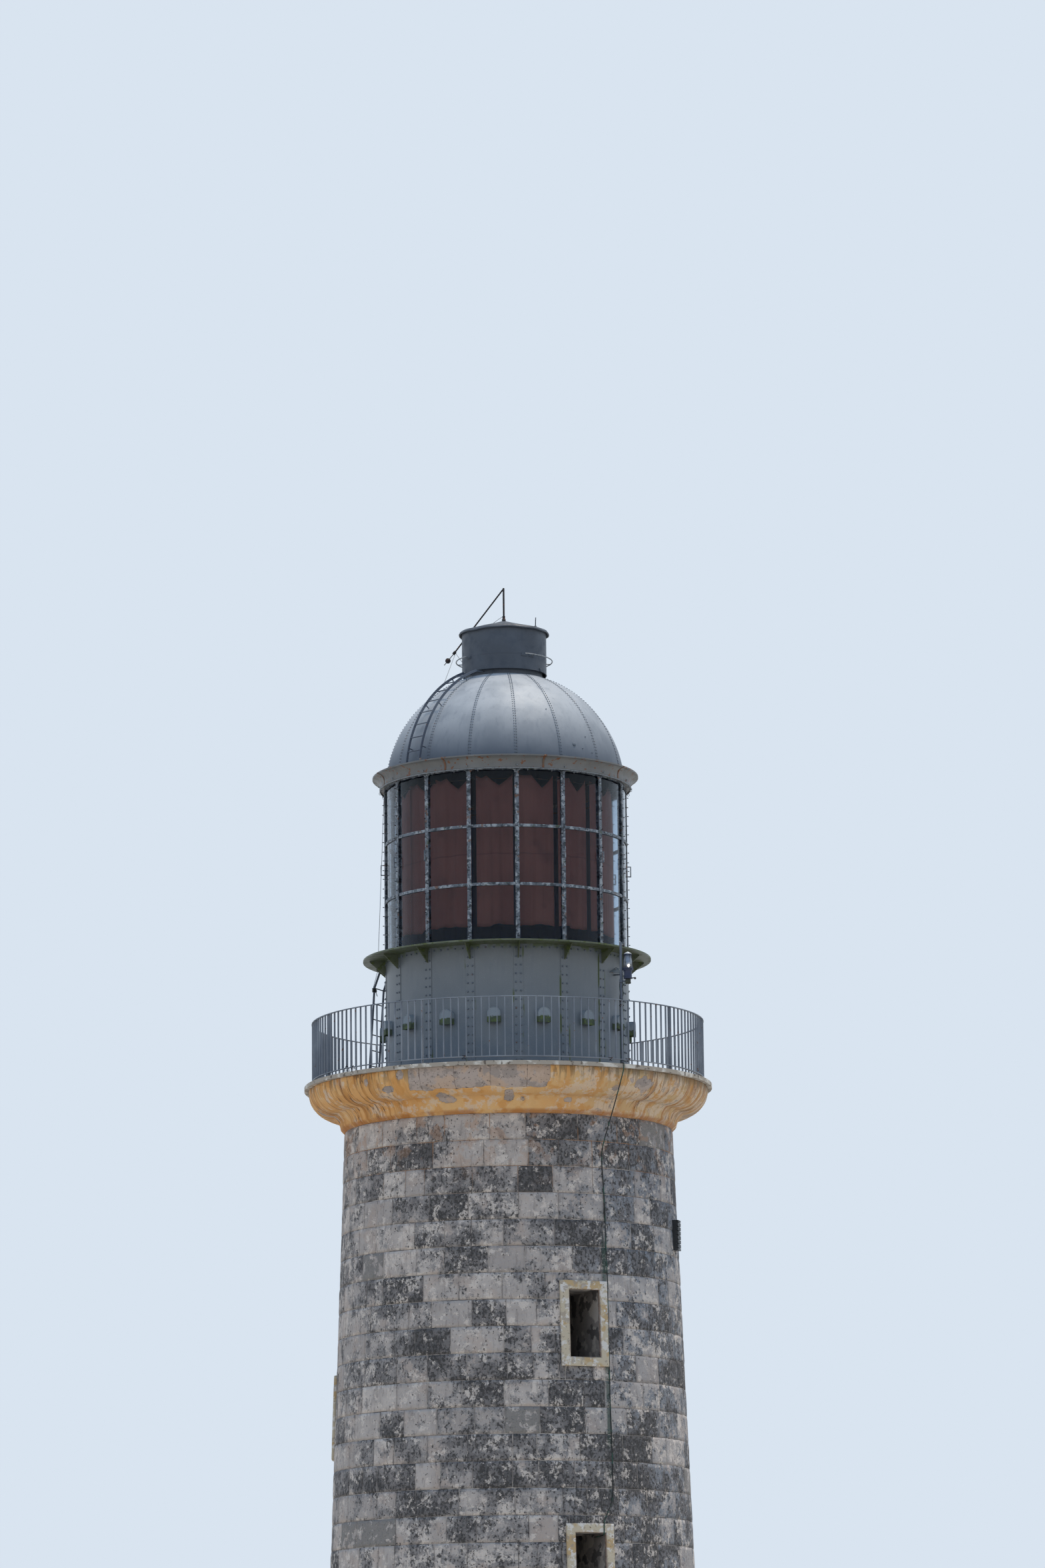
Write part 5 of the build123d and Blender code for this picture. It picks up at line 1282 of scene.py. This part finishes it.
def build_lamp():
    """Small marine lantern: cast base with a bolted lip, lenses in a caged cover, and a pointed cap."""
    foot = [(0.05, 1.325), (0.066, 1.328), (0.068, 1.343), (0.06, 1.348), (0.059, 1.44), (0.066, 1.456)]
    lower_lip = [(0.079, 1.461), (0.081, 1.473), (0.074, 1.4745)]
    upper_lip = [(0.074, 1.4775), (0.081, 1.479), (0.081, 1.49), (0.07, 1.496)]
    base = Shape([spun(foot + lower_lip + upper_lip, LAMP, 48)])
    for bearing in range(90, 450, 60):
        side = outward(bearing)[0]
        base.add(*tube([LAMP + side * 0.075 + (0, 0, 1.49), LAMP + side * 0.053 + (0, 0, 1.705)], 0.0028, 6))
        base.add(*spun([(0.006, 1.452), (0.006, 1.462)], LAMP + side * 0.075, 6))
        base.add(*spun([(0.006, 1.488), (0.006, 1.5)], LAMP + side * 0.081, 6))
    base.add(*spun([(0.048, 1.694), (0.062, 1.696), (0.062, 1.706), (0.05, 1.7065)], LAMP, 36))
    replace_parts(base.piece("lamp_housing", "lamp_paint"), "beacon_base")
    cover = Shape([turned([(0.072, 1.493), (0.051, 1.698), (0.048, 1.698), (0.069, 1.493)], 48, LAMP)])
    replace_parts(cover.piece("lamp_cover", "lamp_lens"), "beacon_lens")
    lens = ((0.024, 0), (0.038, 0.01), (0.041, 0.02), (0.036, 0.033), (0.024, 0.042))
    stack = [(reach, 1.5 + 0.047 * tier + rise) for tier in range(4) for reach, rise in lens]
    optic = Shape([spun([(0.03, 1.49)] + stack + [(0.024, 1.694)], LAMP, 32)])
    optic.piece("lamp_lenses", "lamp_lens", lamp_optic())
    hat = [(0.05, 1.706), (0.061, 1.7075), (0.06, 1.711), (0.034, 1.728), (0.007, 1.744), (0.0, 1.745)]
    Shape([spun(hat, LAMP, 36)]).piece("lamp_cap", "lamp_paint", CAP_PAINT)
    body = block((0.08, 0.08, 0.072), LAMP + (0, 0, 1.289), 0, 0.006)
    lid = block((0.087, 0.087, 0.008), LAMP + (0, 0, 1.262), 0, 0.003)
    Shape([body, lid]).piece("lamp_junction", "lamp_paint", BOX_METAL)


def build_lamp_fittings():
    """Handle arm, pole clamps, the flattened end of the pole, and the wires and gusset behind the lamp."""
    handle = [LAMP + (0.05, -0.03, 1.332), LAMP + (0.088, -0.03, 1.336), LAMP + (0.104, -0.03, 1.333)]
    stay = [POLE + (0.045, 0, 1.83), POLE + (0.052, 0, 1.78), LAMP + (-0.035, 0, 1.722)]
    arm = Shape([tube(handle, 0.008, 10), ball(LAMP + (0.106, -0.03, 1.331), 0.018)])
    arm.add(*ball(POLE + (0.045, 0, 1.835), 0.015))
    arm.add(*tube([POLE + (0.01, 0, 1.832), POLE + (0.045, 0, 1.835)], 0.005))
    arm.add(*tube(stay, 0.003))
    for height in (0.9, 0.93, 0.98, 1.01, 1.27):
        arm.add(*hoop(POLE + (0, 0, height), 0.0245, 0.005))
    for height, side in product((0.915, 0.995), (-1, 1)):
        nut = POLE + (0.032 * side, -0.012, height)
        arm.add(*tube([nut + (0, 0.018, 0), nut - (0, 0.016, 0)], 0.006, 6))
    arm.piece("lamp_fittings", "mast_iron")
    outline = [(-0.02, 1.872), (0.028, 1.845), (0.03, 1.86), (-0.012, 1.905), (-0.021, 1.906)]
    tip = Shape([plate(outline, POLE - (0, 0.004, 0), (1, 0, 0), UP, 0.03)])
    tip.piece("pole_tip", "galvanised", CAP_PAINT)
    pipe = spot(61, 2.018, DECK)
    out, left = spot(61, 1.0, 0), spot(-29, 1.0, 0)
    wires = Shape()
    for way, reach, high, low, size in ((1, 0.05, 1.6, 1.25, 0.0065), (-1, 0.042, 1.42, 1.245, 0.005)):
        bow = 0.014 + reach * np.sin(np.linspace(0, pi, 7)) ** 0.8
        path = pipe + way * bow[:, None] * left + 0.006 * out + np.linspace(high, low, 7)[:, None] * UP
        wires.add(*tube(spline_points(path, 4), size))
    wires.add(*tube([pipe + (0, 0, 1.262), pipe + (0, 0, 1.222)], 0.023, 12))
    run = [POLE + (-0.0265, -0.008, z) for z in (0.02, 0.3, 0.6, 0.9, 1.15)] + [LAMP + (-0.05, -0.02, 1.27)]
    wires.add(*tube(spline_points(run, 4), 0.005))
    wires.piece("lamp_wires", "cable_rubber")
    right = np.array([0.953, 0.303, 0])
    top = pipe + (0, 0, 1.64) - 0.012 * np.cross(UP, right)
    outline = [(-0.205, 0.0), (0.02, -0.012), (0.05, 0.03), (-0.085, 0.085), (-0.205, 0.005)]
    gusset = Shape([plate(outline, top, right, UP, 0.008)])
    for height in (1.3, 1.55):
        gusset.add(*hoop(pipe + (0, 0, height), 0.019, 0.004, sides=6))
    gusset.piece("conduit_gusset", "ladder_paint", PIPE_PAINT, smooth=False)
    bolts = np.stack([top + right * x + UP * z for x, z in ((-0.09, 0.06), (-0.035, 0.045), (0.018, 0.028))])
    facing = np.tile([right[1], -right[0], 0], (3, 1))
    heads("gusset_bolts", bolts, facing, "galvanised", 0.008, 0.02, material=CAP_PAINT)


# Small things on the ladder, the vent, the hoods, the doors and the railing
def build_lashing():
    """Rope wound and knotted round the gallery ladder's front stringer."""
    middle = spot(-115, 2.243, DECK + 1.668) + 0.165 * np.array([-0.4226, -0.9063, 0])
    side = np.array([0.72, -0.69, 0])
    turn = np.linspace(0, 2 * pi * 4.5, 90)
    wind = np.stack([np.cos(turn), np.sin(turn), np.linspace(-0.032, 0.03, 90) / 0.026], -1) * 0.026
    knot = [(0.02, 0.03), (0.045, 0.012), (0.03, -0.02), (0.02, -0.034)]
    knot += [(0.045, -0.036), (0.052, -0.01), (0.03, 0.008)]
    end = [(0.03, -0.02), (0.045, -0.05), (0.06, -0.085), (0.068, -0.105)]
    knot, end = ([middle + side * across + UP * up for across, up in line] for line in (knot, end))
    rope = Shape([tube(middle + wind, 0.0075)])
    rope.add(*tube(spline_points(knot, 5), 0.0085))
    rope.add(*tube(spline_points(end, 4), 0.0055))
    rope.piece("ladder_lashing", "cable_rubber")


def build_vent_fittings():
    """Lugs and lap lines on the vent's drum, the mast's wire, plugs in the dome, and lugs on the gutter."""
    lugs = Shape()
    for bearing in (28, 40, 255, 304):
        lugs.add(*block((0.1, 0.012, 0.045), spot(bearing, 0.669, DECK + 6.775), bearing, 0.003))
    lugs.add(*block((0.06, 0.03, 0.05), spot(58, 0.672, DECK + 6.57), 58, 0.006))
    turn = np.linspace(0, 360, 96, endpoint=False)
    lugs.add(*tube(spot(turn, 0.6675, DECK + 6.79), 0.0028, 6, closed=True))
    lugs.add(*tube(spot(turn, 0.668, DECK + 6.551), 0.006, 6, closed=True))
    lugs.piece("drum_lugs", "vent_paint")
    run = np.array([(-0.008, -0.02, 0.075), (-0.09, -0.025, 0.02), (-0.175, -0.03, -0.045)]) + UP * VENT_APEX
    socket = tube([(0, 0, VENT_APEX - 0.01), (0, 0, VENT_APEX + 0.03)], 0.03, 16)
    Shape([tube(run, 0.003, 6), socket]).piece("mast_wire", "mast_iron")
    plugs = Shape()
    places = ((36, 14, 0.03), (41, 12.5, 0.008), (44.5, 19, 0.009), (47, 11, 0.008), (24, 33, 0.008))
    for bearing, angle, size in places:
        foot, top = (dome_spot(bearing, angle, DOME_RADIUS + rise) for rise in (-0.004, 0.01))
        plugs.add(*tube([foot, (foot + top) / 2, top], [size, size, size * 0.8], 16))
    plugs.piece("dome_plugs", "dome_paint", RIVET_PAINT_WITH_PAINTED_SHADE)
    front = block((0.03, 0.025, 0.045), spot(-39, 2.085, DECK + 4.915), -39, 0.004)
    rear = block((0.03, 0.025, 0.03), spot(141, 2.085, DECK + 4.91), 141, 0.004)
    Shape([front, rear]).piece("gutter_lugs", "gutter_paint")


def build_hood_rims():
    """Rolled rim round the front of each vent hood, and a drip edge along its foot."""
    rims = Shape()
    half, door_bay = 0.097, 7
    turn = np.radians(np.linspace(0, 180, 13))[:, None]
    arch = np.hstack([half * np.cos(turn), 0.13 + half * np.sin(turn)])
    outline = np.concatenate([[(half, 0.0), (half, 0.06)], arch, [(-half, 0.06), (-half, 0.0)]])
    for i in range(BAYS):
        if i == door_bay:
            continue
        bearing = seam(i + 0.5)
        front = spot(bearing, 1.9995, DECK + 0.755)
        path = front + outline[:, :1] * outward(bearing)[1] + outline[:, 1:] * UP
        rims.add(*tube(path, 0.0055))
        rims.add(*tube([path[0], front, path[-1]], 0.0045))
    rims.piece("hood_rims", "hood_paint")


def build_entrance_door():
    """Boards, ledges, straps, ring and nails of the door at the tower's foot."""
    out, side = outward(WINDOW_BEARING)
    wide, tall = 0.172, 2.086
    boards = Shape()
    for i in range(5):
        middle = out * 2.7 + side * 0.178 * (i - 2) + UP * (0.008 + tall / 2)
        boards.add(*block((wide, 0.036, tall), middle, WINDOW_BEARING, 0.006))
    for height in (0.25, 1.05, 1.85):
        boards.add(*block((0.87, 0.022, 0.14), out * 2.672 + UP * height, WINDOW_BEARING, 0.004))
    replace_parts(boards.piece("door_boards", "door_wood"), "entrance_door")
    straps, strap_face = (0.3, 1.8), out * 2.7245
    outline = [(-0.44, -0.028), (0.24, -0.02), (0.3, 0), (0.24, 0.02), (-0.44, 0.028)]
    iron = Shape()
    for height in straps:
        iron.add(*plate(outline, strap_face + UP * height, side, UP, 0.007))
        iron.add(*tube([out * 2.725 - side * 0.436 + UP * (height + z) for z in (-0.06, 0.06)], 0.012, 12))
    handle = out * 2.733 + side * 0.33
    iron.add(*hoop(handle + UP * 1.02, 0.045, 0.006, side, UP, 28))
    iron.add(*block((0.07, 0.008, 0.16), out * 2.722 + side * 0.33 + UP * 1.04, WINDOW_BEARING, 0.003))
    iron.add(*ball(handle + UP * 1.065, 0.013))
    iron.piece("door_ironwork", "mast_iron")
    along = (-0.38, -0.25, -0.1, 0.07, 0.22)
    nails = np.stack([strap_face + side * x + UP * z for z, x in product(straps, along)])
    heads("door_nails", nails, np.tile(out, (len(nails), 1)), "mast_iron", 0.011, 0.012)


def build_gallery_door():
    """Hinges and handle of the door in the lantern's base."""
    middle = 173.95
    fittings = Shape()
    bearing = middle - degrees(0.27 / BASE_RADIUS)
    for height in (DECK + 0.45, DECK + 1.45):
        fittings.add(*tube([spot(bearing, 1.912, height + z) for z in (-0.06, 0.06)], 0.012, 12))
        for at in (bearing - 1.6, bearing + 1.6):
            fittings.add(*block((0.09, 0.008, 0.09), spot(at, 1.903, height), at, 0.003))
    bearing, height = middle + degrees(0.2 / BASE_RADIUS), DECK + 0.97
    fittings.add(*block((0.05, 0.01, 0.14), spot(bearing, 1.904, DECK + 0.95), bearing, 0.003))
    fittings.add(*tube([spot(bearing, 1.9, height), spot(bearing, 1.955, height)], 0.009, 10))
    fittings.add(*tube([spot(bearing, 1.95, height), spot(bearing - 3.2, 1.95, height - 0.005)], 0.009, 10))
    fittings.piece("gallery_door_fittings", "plate_paint", RIVET_PAINT_WITH_PAINTED_SHADE)


def build_wire_ties():
    """Ends of wire twisted round the foot of the railing."""
    ties = Shape()
    turn = np.linspace(0, 2 * pi, 30, endpoint=False)
    places = ((-53.5, 0.05), (-50.5, 0.03), (-12.5, 0.035), (30.5, 0.028), (36.5, 0.035), (120, 0.04))
    for bearing, size in places:
        reach = 3.066 + size * 0.7 * np.cos(turn)
        height = DECK + 0.075 + size * (0.9 * np.sin(turn) + 0.25 * np.sin(3 * turn))
        ties.add(*tube(spot(bearing + 0.5 * np.sin(2 * turn), reach, height), 0.0045, 6, closed=True))
    ties.piece("railing_ties", "mast_iron")


build_ashlar()
build_cornice()
build_surrounds()
build_dome()
build_vent_cap()
build_curtains()
build_rivets()
build_gutter_details()
build_fillets()
build_cable()
build_lamp()
build_lamp_fittings()
build_lashing()
build_vent_fittings()
build_hood_rims()
build_entrance_door()
build_gallery_door()
build_wire_ties()


# Camera, light and floor
def place_camera():
    """Camera at the photograph's standpoint, looking up at the lantern."""
    yaw, pitch, roll = radians(0.178), radians(10.5), radians(-0.57)
    aim = Matrix.Rotation(-yaw, 4, "Z") @ Matrix.Rotation(pi / 2 + pitch, 4, "X")
    camera = in_scene("camera", bpy.data.cameras.new("camera"))
    camera.data.lens = 129.0
    camera.data.clip_end = 900
    camera.matrix_world = Matrix.Translation((0, -87.1, 5.954)) @ aim @ Matrix.Rotation(roll, 4, "Z")
    bpy.context.scene.camera = camera


def place_light():
    """A high sun a little behind and to the right, and a bright sky over pale ground."""
    sun = in_scene("sun", bpy.data.lights.new("sun", "SUN"))
    sun.data.energy = 2.2
    sun.data.angle = radians(6.0)
    sun.data.color = linear("fff4e2")[:3]
    away = Vector(spot(116, cos(radians(77)), sin(radians(77))))
    sun.rotation_euler = away.to_track_quat("Z", "Y").to_euler()
    world = bpy.data.worlds.new("sky")
    bpy.context.scene.world = world
    world.use_nodes = True
    tree = world.node_tree
    place = add_node(tree, "ShaderNodeTexCoord").outputs["Generated"]
    level = add_node(tree, "ShaderNodeSeparateXYZ", {0: place}).outputs["Z"]
    height = add_node(tree, "ShaderNodeMapRange", {"Value": level, "From Min": -1.0, "From Max": 1.0})
    ramp = add_node(tree, "ShaderNodeValToRGB", {"Fac": height.outputs[0]})
    ramp.color_ramp.elements[0].color = linear("8a8378")
    ramp.color_ramp.elements[1].color = linear("86b2e6")
    for at, code in ((0.49, "a49d92"), (0.51, "dfe6ec"), (0.62, "e6ecf3"), (0.75, "a9c8ec")):
        ramp.color_ramp.elements.new(at).color = linear(code)
    sky = add_node(tree, "ShaderNodeBackground", {"Color": ramp.outputs["Color"], "Strength": 1.0})
    plain = add_node(tree, "ShaderNodeBackground", {"Color": linear("d9e4f0"), "Strength": 1.0})
    rays = add_node(tree, "ShaderNodeLightPath").outputs
    seen = rays["Is Camera Ray"]
    for kind in ("Is Glossy Ray", "Is Transmission Ray"):
        seen = add_node(tree, "ShaderNodeMath", {0: seen, 1: rays[kind]}, operation="MAXIMUM").outputs[0]
    mixed = add_node(tree, "ShaderNodeMixShader", {"Fac": seen, 1: sky.outputs[0], 2: plain.outputs[0]})
    tree.links.new(mixed.outputs[0], tree.nodes["World Output"].inputs["Surface"])


def place_floor():
    """Pale ground under the tower."""
    ground = Finish("Pale ground", "c4bfb6", 0.95)
    ground.paint("c1bcb3", ground.patches(3.0, 0.4, 0.7, detail=5))
    mesh = bpy.data.meshes.new("floor")
    rim = spot(np.linspace(0, 360, 96, endpoint=False), 600.0, 0.0)
    mesh.from_pydata([tuple(point) for point in rim], [], [tuple(range(96))])
    mesh.materials.append(ground.done())
    in_scene("floor", mesh)


place_camera()
place_light()
place_floor()
bpy.context.scene.view_settings.view_transform = "Standard"
